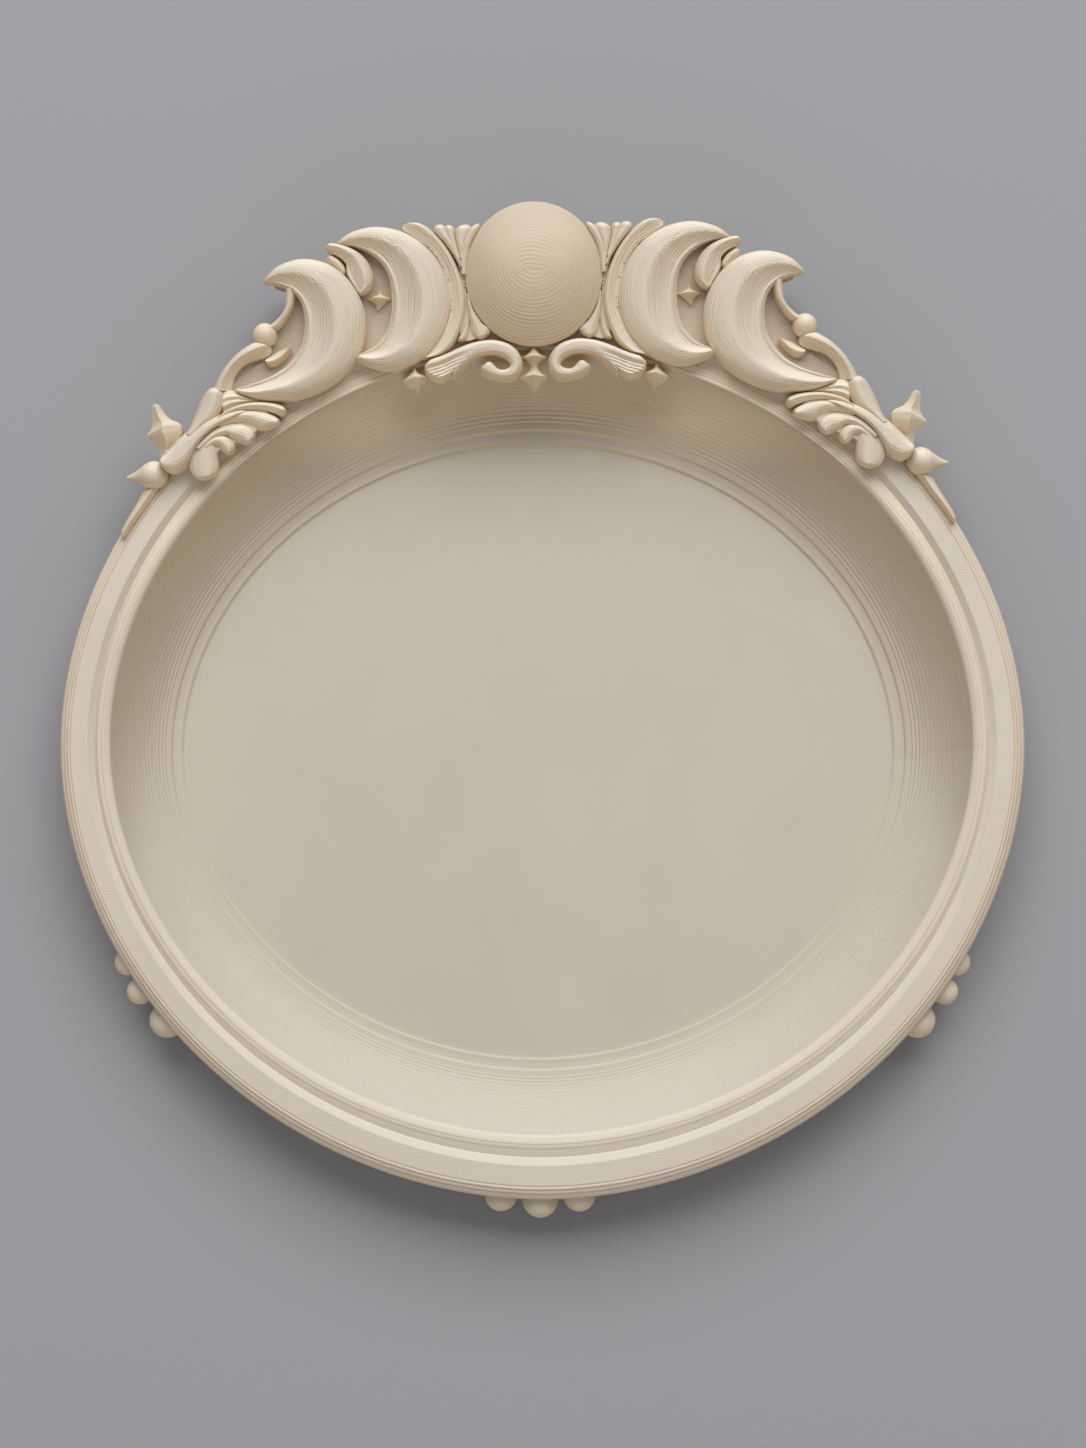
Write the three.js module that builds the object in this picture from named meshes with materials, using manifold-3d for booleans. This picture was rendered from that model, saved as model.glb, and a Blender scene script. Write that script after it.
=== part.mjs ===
// Oval display tray with a moon crest along its back edge, in millimetres, +Z up.
// The tray stands on its underside at z = 0 with the rim's outline centred on the origin.

import * as THREE from 'three';
import { mergeVertices } from 'three/addons/utils/BufferGeometryUtils.js';
import Module from 'manifold-3d';

const wasm = await Module();
wasm.setup();

// Tray
const trayWidth = 200;
const trayLength = 187.8;
const trayHeight = 14.3;
const ovalExponent = 1.94;
const floorThickness = 3;
const baseInset = 12.5;
const seatStep = 1;
const seatInset = 2;

// Rim moulding, from the outer edge inwards
const reedCount = 3;
const reedBandWidth = 2.5;
const reedBandFall = 3.1;
const reedBandRound = 1.6;
const reedDepth = 0.26;
const bandWidth = 3.8;
const bandFall = 0.1;
const grooveBevelWidth = 1.5;
const grooveBelowBand = 0.75;
const grooveWidth = 1.8;
const lipBelowBand = 0.3;
const lipStepWidth = 0.3;
const lipTopWidth = 0.4;
const lipSlopeWidth = 1.4;
const lipSlopeFall = 0.75;

// The lip and the floor sit a little off the outline's centre
const rimWidthAtEnds = 12.7;
const lipShift = 0.8;
const coveWidth = 13.7;
const floorInsetAtEnds = 28.9;
const floorShift = -1.05;
const floorRingInset = 1.3;
const floorRingDepth = 0.35;

// Beads under the rim: bearing in degrees from +X, distance out from the edge, radius
const beadDrop = 0.5;
const frontBearing = 269.7;
const frontBeadStep = 5;
const frontBeadRadius = 3.75;
const frontBeadOut = 1;
const frontSideBeadRadius = 3.4;
const frontSideBeadOut = 0.3;
const sideBeadRadius = 2.8;
const lowerBeadRadius = 3.4;
const sideBeads = [
  { name: 'upper', bearing: 207.5, out: -0.1, radius: sideBeadRadius },
  { name: 'middle', bearing: 211.3, out: 1.1, radius: sideBeadRadius },
  { name: 'lower', bearing: 216.1, out: 0.4, radius: lowerBeadRadius },
];

// Crest
const crestPeakOut = 16.4;
const crestFootOut = 1.2;
const crestTurn = THREE.MathUtils.degToRad(1.05);
const plateBelowBand = 0.3;
const plateThickness = 8;
const plateLap = 2;
const moonWidth = 28.2;
const moonLength = 29.7;
const fitGap = 0.3;

// Heights of the carving above the plate: the side wall, then the crown on top of it
const moonWall = 3.2;
const moonCrown = 5;
const crescentWall = 2.4;
const crescentCrown = 3.4;
const haloWall = 2.2;
const haloCrown = 2.2;
const scrollWall = 2.6;
const scrollCrown = 3;
const fanLeafCrown = 1.6;
const leafWall = 1.6;
const leafCrown = 1.8;
const curlCrown = 2.8;
const budCrown = 3;
const dropWall = 1.2;
const dropCrown = 2.2;
const lobeWall = 2.5;
const lobeCrown = 2.1;
const stemWall = 2.4;
const stemCrown = 2.8;
const vineWall = 1.4;
const vineCrown = 2.4;
const ballWall = 1.8;
const ballRadius = 2.5;
const sprigWall = 0.5;
const sprigCrown = 2.2;
const pendantWall = 1.6;
const pendantCrown = 3.5;
const starWall = 0.5;
const starCrown = 2.6;
const finialWall = 1.2;
const finialCrown = 3.4;
const finialBaseDrop = 3;
const teardropWall = 0.6;
const quillWall = 0.1;
const quillCrown = 1.8;
const quillBaseDrop = 4.5;

// Fineness of the faceted surfaces
const ovalSegments = 64;
const coveSteps = 5;
const flareSteps = 3;
const weldDistance = 1e-4;

const grooveInset = reedBandWidth + bandWidth + grooveBevelWidth;
const lipInset = grooveInset + grooveWidth + lipStepWidth;
const rimWidth = lipInset + lipTopWidth + lipSlopeWidth;
const floorInset = rimWidth + coveWidth;
const grooveBottom = trayHeight - grooveBelowBand;
const lipTop = trayHeight - lipBelowBand;
const edgeHeight = trayHeight - bandFall - reedBandFall;
const seatHeight = edgeHeight - seatStep;
const plateTop = trayHeight - plateBelowBand;
const plateBottom = plateTop - plateThickness;

// Solids from points and triangles

function closedSolid(points, triangles) {
  const geometry = new THREE.BufferGeometry();
  geometry.setAttribute('position', new THREE.Float32BufferAttribute(points.flat(), 3));
  geometry.setIndex(triangles);
  return solidOf(geometry);
}

function solidOf(geometry) {
  geometry.deleteAttribute('normal');
  geometry.deleteAttribute('uv');
  const merged = mergeVertices(geometry, weldDistance);
  const at = new THREE.Vector3();
  const next = new THREE.Vector3();
  const last = new THREE.Vector3();
  const position = merged.attributes.position;
  const corners = [];
  let volume = 0;
  for (let i = 0; i < merged.index.count; i += 3) {
    const [a, b, c] = [0, 1, 2].map((k) => merged.index.getX(i + k));
    if (a === b || b === c || c === a) continue;
    corners.push([a, b, c]);
    at.fromBufferAttribute(position, a);
    next.fromBufferAttribute(position, b);
    last.fromBufferAttribute(position, c);
    volume += at.dot(next.cross(last));
  }
  const outward = volume > 0 ? corners : corners.map(([a, b, c]) => [a, c, b]);
  return new wasm.Manifold(new wasm.Mesh({
    numProp: 3,
    vertProperties: position.array,
    triVerts: new Uint32Array(outward.flat()),
  }));
}

function geometryOf(solid) {
  const mesh = solid.getMesh();
  const geometry = new THREE.BufferGeometry();
  geometry.setAttribute('position', new THREE.Float32BufferAttribute(mesh.vertProperties, 3));
  geometry.setIndex(new THREE.Uint32BufferAttribute(mesh.triVerts, 1));
  geometry.computeVertexNormals();
  return geometry;
}

function largestPiece(solid) {
  return solid.decompose().sort((a, b) => b.volume() - a.volume())[0];
}

// A skin over rows of points. The columns close on themselves; the rows close too on a ring.
function skin(rows, ring) {
  const columns = rows[0].length;
  const triangles = [];
  const lastRow = ring ? rows.length : rows.length - 1;
  for (let i = 0; i < lastRow; i++) {
    for (let j = 0; j < columns; j++) {
      const a = i * columns + j;
      const b = i * columns + (j + 1) % columns;
      const c = ((i + 1) % rows.length) * columns + (j + 1) % columns;
      const d = ((i + 1) % rows.length) * columns + j;
      triangles.push(a, b, c, a, c, d);
    }
  }
  if (!ring) {
    const top = (rows.length - 1) * columns;
    for (let j = 1; j < columns - 1; j++) {
      triangles.push(0, j + 1, j, top, top + j, top + j + 1);
    }
  }
  return closedSolid(rows.flat(), triangles);
}

// A plan outline moved outwards by a gap along its corner normals
function grown(outline, gap) {
  const points = outline.filter((p, i) => {
    const q = outline[(i + 1) % outline.length];
    return Math.hypot(p[0] - q[0], p[1] - q[1]) > 1e-3;
  });
  const area = THREE.ShapeUtils.area(points.map(([x, y]) => new THREE.Vector2(x, y)));
  const side = Math.sign(area) * gap;
  return points.map((p, i) => {
    const before = points[(i + points.length - 1) % points.length];
    const after = points[(i + 1) % points.length];
    const come = new THREE.Vector2(p[0] - before[0], p[1] - before[1]).normalize();
    const go = new THREE.Vector2(after[0] - p[0], after[1] - p[1]).normalize();
    const normal = new THREE.Vector2(come.y + go.y, -come.x - go.x);
    const miter = 2 / Math.max(normal.lengthSq(), 1);
    return [p[0] + normal.x * side * miter, p[1] + normal.y * side * miter];
  });
}

function prism(outline, low, high) {
  const shape = new THREE.Shape(outline.map(([x, y]) => new THREE.Vector2(x, y)));
  const geometry = new THREE.ExtrudeGeometry(shape, { depth: high - low, bevelEnabled: false });
  return solidOf(geometry.translate(0, 0, low));
}

// The tray's oval family: an inset from the outer edge gives one oval

function ovalAt(inset) {
  const half = { x: trayWidth / 2, y: trayLength / 2 };
  if (inset <= rimWidth) {
    const k = inset / rimWidth;
    return { x: half.x - inset, y: half.y - k * rimWidthAtEnds, shift: k * lipShift };
  }
  if (inset <= floorInset) {
    const k = (inset - rimWidth) / coveWidth;
    return {
      x: half.x - inset,
      y: half.y - THREE.MathUtils.lerp(rimWidthAtEnds, floorInsetAtEnds, k),
      shift: THREE.MathUtils.lerp(lipShift, floorShift, k),
    };
  }
  const k = (half.x - inset) / (half.x - floorInset);
  return { x: half.x - inset, y: k * (half.y - floorInsetAtEnds), shift: floorShift };
}

// Point on an oval at a bearing, turned about the tray's centre
function ovalPoint(inset, bearing, turn = 0) {
  const { x: a, y: b, shift } = ovalAt(inset);
  const c = Math.cos(bearing);
  const s = Math.sin(bearing);
  const x = a * Math.sign(c) * Math.abs(c) ** (2 / ovalExponent);
  const y = b * Math.sign(s) * Math.abs(s) ** (2 / ovalExponent) + shift;
  return [x * Math.cos(turn) - y * Math.sin(turn), x * Math.sin(turn) + y * Math.cos(turn)];
}

// A profile of [inset, height] carried round the ovals
function ovalSolid(profile, { ring, turn = 0 }) {
  const rows = profile.map(([inset, z]) => Array.from({ length: ovalSegments }, (_, j) => {
    const [x, y] = ovalPoint(inset, (2 * Math.PI * j) / ovalSegments, turn);
    return [x, y, z];
  }));
  return skin(rows, ring);
}

// Rim top from the outer edge to the groove: half-round reeds on a rounded slope, band, bevel
function rimTopProfile() {
  const points = [[0, edgeHeight]];
  const reedPhase = [0.5, 1];
  for (let reed = 0; reed < reedCount; reed++) {
    for (const phase of reedPhase) {
      const k = (reed + phase) / reedCount;
      const swell = phase < 1 ? reedDepth : 0;
      const rise = 1 - (1 - k) ** reedBandRound;
      points.push([reedBandWidth * k - swell, edgeHeight + reedBandFall * rise]);
    }
  }
  points.push([reedBandWidth + bandWidth, trayHeight]);
  return points;
}

// Level groove, a small step up to the lip and the lip's slope into the dish
function lipProfile() {
  return [
    [grooveInset, grooveBottom],
    [grooveInset + grooveWidth, grooveBottom],
    [lipInset, lipTop],
    [lipInset + lipTopWidth, lipTop],
    [rimWidth, lipTop - lipSlopeFall],
  ];
}

function coveProfile() {
  const wallTop = lipTop - lipSlopeFall;
  const depth = wallTop - floorThickness;
  return Array.from({ length: coveSteps }, (_, i) => {
    const angle = ((i + 1) / coveSteps) * Math.PI / 2;
    return [rimWidth + coveWidth * (1 - Math.cos(angle)), wallTop - depth * Math.sin(angle)];
  });
}

// Underside from the flat base out to the seat under the rim moulding
function flareProfile() {
  return Array.from({ length: flareSteps + 1 }, (_, i) => {
    const angle = (i / flareSteps) * Math.PI / 2;
    return [
      baseInset - (baseInset - seatInset) * Math.sin(angle),
      seatHeight * (1 - Math.cos(angle)),
    ];
  });
}

function makeTrayBasin() {
  const ringAt = floorInset + floorRingInset;
  const floorCentre = trayWidth / 2;
  return ovalSolid([
    [floorCentre, 0],
    ...flareProfile(),
    [grooveInset, seatHeight],
    ...lipProfile(),
    ...coveProfile(),
    [ringAt - floorRingDepth, floorThickness],
    [ringAt, floorThickness - floorRingDepth],
    [ringAt + floorRingDepth, floorThickness],
    [floorCentre, floorThickness],
  ], { ring: false });
}

function makeRimMoulding() {
  return ovalSolid([
    ...rimTopProfile(),
    [grooveInset - fitGap, grooveBottom],
    [grooveInset - fitGap, seatHeight],
    [seatStep, seatHeight],
  ], { ring: true });
}

// What the crest must clear: everything below the rim's top, with the gap added
function rimClearance() {
  const floorOfCut = plateBottom - plateThickness;
  const outline = [
    [rimWidth, floorOfCut],
    [0, floorOfCut],
    ...rimTopProfile(),
    [grooveInset, grooveBottom],
    [grooveInset + grooveWidth, grooveBottom],
    [lipInset, lipTop],
    [rimWidth, lipTop],
  ];
  const clear = grown(outline, fitGap).slice(1, -1);
  return ovalSolid([
    [trayWidth / 2, floorOfCut - fitGap],
    ...clear,
    [trayWidth / 2, lipTop + fitGap],
  ], { ring: false, turn: -crestTurn });
}

// What a bead must clear: the moulding's edge and the basin's flare
function edgeClearance() {
  const outline = [
    [trayWidth / 4, -1],
    [baseInset, -1],
    ...flareProfile(),
    [seatStep, seatHeight],
    [0, edgeHeight],
    [reedBandWidth, edgeHeight + reedBandFall],
    [trayWidth / 4, edgeHeight + reedBandFall],
  ];
  const clear = grown(outline, fitGap).slice(1, -1);
  return ovalSolid([
    [trayWidth / 2, -1 - fitGap],
    ...clear,
    [trayWidth / 2, edgeHeight + reedBandFall + fitGap],
  ], { ring: false });
}

function makeBead({ bearing, out, radius }, clearance) {
  const around = 12;
  const up = 6;
  const angle = THREE.MathUtils.degToRad(bearing);
  const c = Math.abs(Math.cos(angle)) / (trayWidth / 2);
  const s = Math.abs(Math.sin(angle)) / (trayLength / 2);
  const reach = (c ** ovalExponent + s ** ovalExponent) ** (-1 / ovalExponent) + out;
  const sphere = new THREE.SphereGeometry(radius, around, up);
  sphere.rotateX(Math.PI / 2);
  const height = edgeHeight - beadDrop - radius;
  sphere.translate(reach * Math.cos(angle), reach * Math.sin(angle), height);
  return largestPiece(solidOf(sphere).subtract(clearance));
}

// The crest's drawing: x is negative on the left; a sign of -1 mirrors it to the right.
// It is stretched so that its foot and its peak stand out from the rim's edge by their sizes.

const drawnFoot = [-78.3, 60.2];
const drawnPeak = [0, 111.5];

function crestStretch() {
  const along = (trayLength / 2 + crestPeakOut) / drawnPeak[1];
  const share = (drawnFoot[1] * along) / (trayLength / 2);
  const rimReach = (trayWidth / 2) * (1 - share ** ovalExponent) ** (1 / ovalExponent);
  return { across: (rimReach + crestFootOut) / -drawnFoot[0], along };
}

const stretch = crestStretch();

function drawn([u, v], sign = 1) {
  return [sign * u * stretch.across, v * stretch.along];
}

// Height across a strip, 0 to 1, for a place q between its two rails
const round = (q) => Math.sqrt(Math.max(0, 1 - (2 * q - 1) ** 2));
const roof = (q) => 1 - Math.abs(2 * q - 1);
const fluted = (count, depth) => (q) => (
  round(q) * (1 - depth * (0.5 - 0.5 * Math.cos(2 * Math.PI * count * q)))
);

// A round whose crown lies at a share of the width; a power near 1 makes it a roof
const leaning = (ridge, power) => (q) => {
  const side = q < ridge ? 1 - q / ridge : (q - ridge) / (1 - ridge);
  return Math.max(0, 1 - side ** power) ** (1 / power);
};

// Faces or rounds as high as the strip is wide, so that each swelling rises to a point
const faceted = (widest) => (q, width) => roof(q) * Math.min(1, width / widest) ** 0.85;
const turned = (widest) => (q, width) => round(q) * Math.min(1, width / widest);

// A ridge at place f, swelling up to it and scooped behind it down to a rest height
const ridged = (f, rest) => (q) => {
  if (q < f) return Math.sin((Math.PI / 2) * (q / f));
  const back = (q - f) / (1 - f);
  return rest + (1 - rest) * (1 - back) ** 2;
};

function endClosing(t, [start, end]) {
  const curve = (x) => (x >= 1 ? 1 : Math.sqrt(Math.max(0, 1 - (1 - x) ** 2)));
  const atStart = start > 0 ? curve(t / start) : 1;
  const atEnd = end > 0 ? curve((1 - t) / end) : 1;
  return Math.min(atStart, atEnd);
}

// A carved strip lofted between two rails, with a vertical wall and a shaped top.
// Each station is one point on either rail: [u, v, u, v]. Its ends can round off in plan.
function carvedStrip(piece, sign) {
  const { stations, steps, across, wall, crown, shape, closes = [0, 0], base = plateTop } = piece;
  const rail = (k) => new THREE.CatmullRomCurve3(stations.map((s) => {
    const [x, y] = drawn(s.slice(k, k + 2), sign);
    return new THREE.Vector3(x, y, 0);
  }), false, 'catmullrom', 0.5);
  const [first, second] = [rail(0), rail(2)];
  const rows = [];
  const outer = [];
  const inner = [];
  for (let i = 0; i <= steps; i++) {
    const even = i / steps;
    const t = even - 0.09 * Math.sin(2 * Math.PI * even);
    const close = endClosing(t, closes);
    const a = first.getPoint(t);
    const b = second.getPoint(t);
    const width = a.distanceTo(b) / stretch.across;
    const middle = a.clone().lerp(b, 0.5);
    a.lerp(middle, 1 - close);
    b.lerp(middle, 1 - close);
    const row = [[a.x, a.y, base]];
    for (let j = 0; j <= across; j++) {
      const q = (1 - Math.cos((Math.PI * j) / across)) / 2;
      const p = a.clone().lerp(b, q);
      row.push([p.x, p.y, plateTop + wall + crown * close * shape(q, width)]);
    }
    row.push([b.x, b.y, base]);
    rows.push(row);
    outer.push([a.x, a.y]);
    inner.unshift([b.x, b.y]);
  }
  return { solid: skin(rows, false), outlines: [[...outer, ...inner]] };
}

// A boss raised on a closed plan outline, falling from its middle by a profile of the radius
function raisedBoss({ centre, outline, segments, rings, wall, crown, profile }, sign) {
  const [cx, cy] = drawn(centre, sign);
  const edge = Array.from({ length: segments }, (_, j) => {
    const [x, y] = outline((2 * Math.PI * j) / segments);
    return [sign * x, y];
  });
  const level = (reach, z) => edge.map(([x, y]) => [cx + x * reach, cy + y * reach, z]);
  const rows = [level(0, plateTop), level(1, plateTop)];
  for (let i = 0; i <= rings; i++) {
    const reach = 1 - i / rings;
    rows.push(level(reach, plateTop + wall + crown * profile(reach)));
  }
  return { solid: skin(rows, false), outlines: [level(1, 0).map(([x, y]) => [x, y])] };
}

function joined(pieces) {
  const [first, ...others] = pieces;
  const solid = others.reduce((sum, piece) => sum.add(piece.solid), first.solid);
  return { solid, outlines: pieces.flatMap((piece) => piece.outlines) };
}

// A thin web that ties leaves of one carving together
function web(points, height, sign) {
  const outline = points.map((p) => drawn(p, sign));
  return { solid: prism(outline, plateTop, plateTop + height), outlines: [outline] };
}

const fullMoon = {
  centre: [0, 98.35],
  outline: (angle) => [0.5 * moonWidth * Math.cos(angle), 0.5 * moonLength * Math.sin(angle)],
  segments: 32,
  rings: 5,
  wall: moonWall,
  crown: moonCrown,
  profile: (reach) => 1 - reach ** 2.2,
};

const innerCrescent = {
  stations: [
    [-41.2, 105.8, -40.9, 105],
    [-37.6, 107.9, -37.6, 104.8],
    [-32.4, 108.8, -34.2, 103.4],
    [-26.4, 107.3, -31.6, 101],
    [-21.4, 103.5, -30.2, 97.8],
    [-18.2, 98, -29.7, 94.2],
    [-17.5, 91.5, -29.9, 90.4],
    [-19.6, 85.3, -31, 86.9],
    [-24.2, 80.7, -33, 84.3],
    [-30.6, 78.8, -35.1, 83],
    [-37.4, 80.6, -37.6, 82.3],
  ],
  steps: 18,
  across: 5,
  wall: crescentWall,
  crown: crescentCrown,
  shape: ridged(0.5, 0.15),
  closes: [0.05, 0.04],
};

const outerCrescent = {
  stations: [
    [-56.8, 98.1, -56.4, 97.4],
    [-53.2, 101.1, -54, 97.3],
    [-48, 102.4, -51, 96],
    [-42.4, 101, -49, 93.8],
    [-38, 97, -48.1, 91],
    [-35.5, 91.5, -48, 88],
    [-35.6, 85.4, -48.9, 84.2],
    [-38.4, 79.8, -51.6, 80.5],
    [-43.4, 75.6, -55, 78.2],
    [-50, 73.2, -58.6, 76.8],
    [-57, 73, -61.4, 75.9],
    [-62.9, 75, -63.2, 75.5],
  ],
  steps: 18,
  across: 5,
  wall: crescentWall,
  crown: crescentCrown,
  shape: ridged(0.5, 0.15),
  closes: [0.04, 0.03],
};

const haloRidge = {
  stations: [
    [-25.6, 110, -27.5, 108.2], [-22, 108.5, -24.8, 106.4], [-18.6, 104.9, -21.5, 103.4],
    [-16.2, 100.7, -19.2, 99.7], [-14.6, 95.6, -18, 95], [-14.6, 90.3, -17.9, 90.4],
    [-16.5, 84.9, -19.7, 85.7], [-19.2, 82.1, -22.3, 82.4], [-22.3, 81.1, -24.2, 81],
  ],
  steps: 14,
  across: 3,
  wall: haloWall,
  crown: haloCrown,
  shape: ridged(0.3, 0.35),
  closes: [0.08, 0.06],
};

const waveCurl = {
  stations: [
    [-43.7, 104.8, -43.5, 104.2], [-42.4, 105.6, -42, 103.3], [-40.2, 105.3, -40.4, 102.4],
    [-38, 104.5, -39.3, 101.2], [-36, 103.2, -39.2, 100.2], [-34.5, 101.4, -39.2, 99.2],
    [-33.6, 99.2, -38.8, 98.2], [-33.6, 97.2, -38.1, 97], [-34.6, 95.6, -37.3, 95.9],
    [-36.3, 94.5, -36.8, 95],
  ],
  steps: 12,
  across: 5,
  wall: leafWall,
  crown: curlCrown,
  shape: ridged(0.4, 0.45),
  closes: [0.1, 0.05],
};

const scroll = {
  stations: [
    [-23, 80.2, -23.2, 79.3], [-21.6, 81, -22.9, 77.9], [-19.8, 81.6, -21.4, 76.8],
    [-18, 82.3, -19.6, 76.4], [-16.2, 83.1, -17.7, 77.4], [-14.4, 83.8, -15.6, 78.9],
    [-12.6, 84.3, -13.8, 80.2], [-10.8, 84.6, -12, 81.1], [-9, 84.7, -10, 81.5],
    [-7.2, 84.4, -8.2, 81.4], [-5.5, 83.8, -6.9, 81], [-4.1, 82.8, -6, 80.4],
    [-3.1, 81.4, -5.5, 79.8], [-2.7, 79.9, -5.35, 79.3], [-2.9, 78.5, -5.5, 78.95],
    [-3.7, 77.2, -6, 78.65], [-5, 76.5, -6.7, 78.45], [-6.7, 76.3, -7.4, 78.5],
    [-8.4, 76.6, -8, 78.85], [-9.9, 77.1, -8.5, 79.4], [-11.1, 77.8, -9.2, 79.95],
    [-11.8, 78.6, -10.8, 79.9],
  ],
  steps: 24,
  across: 4,
  wall: scrollWall,
  crown: scrollCrown,
  shape: round,
  closes: [0.04, 0.04],
};

// The second leaf of the scroll's fan
const fanLeaf = {
  stations: [
    [-12.4, 82.6, -12.6, 80.8], [-14.2, 81.6, -14.2, 79.6], [-15.8, 80.2, -15.5, 78.6],
    [-16.9, 78.6, -16.3, 77.8], [-17.5, 77.2, -17.1, 77],
  ],
  steps: 6,
  across: 4,
  wall: scrollWall,
  crown: fanLeafCrown,
  shape: round,
  closes: [0.3, 0.1],
};

const palmetteLobes = [
  [
    [-21.2, 108.4, -18.6, 109], [-20.3, 107, -17.9, 107.6], [-18.4, 104.8, -16.8, 105.6],
    [-16.6, 102.2, -15.6, 102.8], [-15.4, 100, -14.9, 100.2],
  ],
  [
    [-18.8, 108.7, -16.4, 108.4], [-18.3, 107, -16.3, 106.8], [-17.2, 104.6, -15.9, 104.6],
    [-15.9, 101.8, -15.1, 101.8],
  ],
  [
    [-16.4, 108.2, -12.6, 108.8], [-16.4, 106.9, -12.9, 107.2], [-16.1, 104.8, -14, 105],
    [-15.5, 102.4, -14.4, 102.2], [-15.2, 100, -14.5, 99.8],
  ],
  [
    [-13.4, 108.4, -11.2, 108.5], [-13.9, 107, -12, 106.9], [-14.6, 104.8, -13.1, 104.7],
    [-15, 102.2, -13.8, 102], [-15.1, 98.6, -14.2, 98.4],
  ],
];
const palmetteWeb = [[-20, 107.4], [-17.6, 107.8], [-14.5, 107.8], [-12.6, 107.4], [-13.9, 104],
  [-14.5, 100], [-15.2, 100], [-17, 103.4]];

const leafDropLobes = [
  [[-14.1, 94.8, -13.8, 94.7], [-14, 91.5, -12.7, 91.2], [-13.7, 88.8, -11, 88.5],
    [-13.3, 86.4, -9.2, 86.9], [-11.9, 84.9, -10.6, 85]],
  [[-13.9, 89.4, -13.6, 89.2], [-15.3, 86.9, -13.8, 86.6], [-16.5, 84.5, -14.3, 84.8]],
];
const leafDropWeb = [[-13.9, 90.5], [-12.9, 90.5], [-12.6, 86.4], [-14.7, 86.4]];

const acanthusLobes = [
  [
    [-66.5, 69.8, -65.8, 69.2], [-64.5, 71.2, -63.6, 70.2], [-62, 72.2, -61, 70.9],
    [-59.5, 72.7, -58.5, 71], [-57, 72.75, -56.2, 70.7], [-54.6, 72.45, -54.6, 70.2],
    [-52.8, 71.8, -53.2, 69.8], [-52, 71.1, -52.3, 70.3],
  ],
  [
    [-66.5, 69.5, -66, 67.2], [-64, 70.4, -63.5, 68.2], [-61.5, 71, -61.3, 68.5],
    [-59, 71.05, -59.6, 68], [-56.8, 70.7, -58.4, 67.1], [-55, 70, -57, 66.9],
    [-53.8, 69.2, -55.2, 67.4], [-53.4, 68.4, -54, 67.8],
  ],
  [
    [-71.3, 63.6, -70, 62.9], [-69.5, 65.6, -68, 64.4], [-67.5, 67.2, -66.3, 65.4],
    [-65.2, 68.2, -64.6, 65.8], [-62.8, 68.4, -63.6, 65.2], [-60.8, 68, -62.6, 64.7],
    [-59.3, 67.1, -61.6, 64.2], [-58.8, 66, -60.7, 64], [-59.2, 64.9, -60, 64.2],
  ],
  [
    [-69.5, 64.2, -68.2, 63], [-68, 65.5, -67.3, 63.7], [-66.4, 66.1, -66.4, 63.6],
    [-64.8, 65.9, -65.9, 63], [-63.6, 65, -65.7, 62.6], [-63, 63.9, -65.3, 62.3],
    [-63.3, 62.8, -64.9, 62.1], [-63.9, 62.1, -64.5, 62],
  ],
  [
    [-71.2, 64.3, -67.4, 65], [-72, 62.4, -66.8, 63.2], [-72.6, 60.8, -66.7, 61.4],
    [-72.6, 59.2, -66.6, 59.8], [-71.9, 57.7, -66.9, 58.3], [-70.6, 56.7, -68.1, 57],
  ],
];
const lobeWeb = [[-71.6, 62], [-69.6, 66], [-66, 69.2], [-61, 70.6], [-56.5, 70.4], [-55.4, 68.6],
  [-58.4, 67.6], [-60, 65.8], [-62, 65.2], [-64.8, 63.8], [-67, 63], [-68, 60.4], [-70, 59.2],
  [-71.6, 60]];

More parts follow.
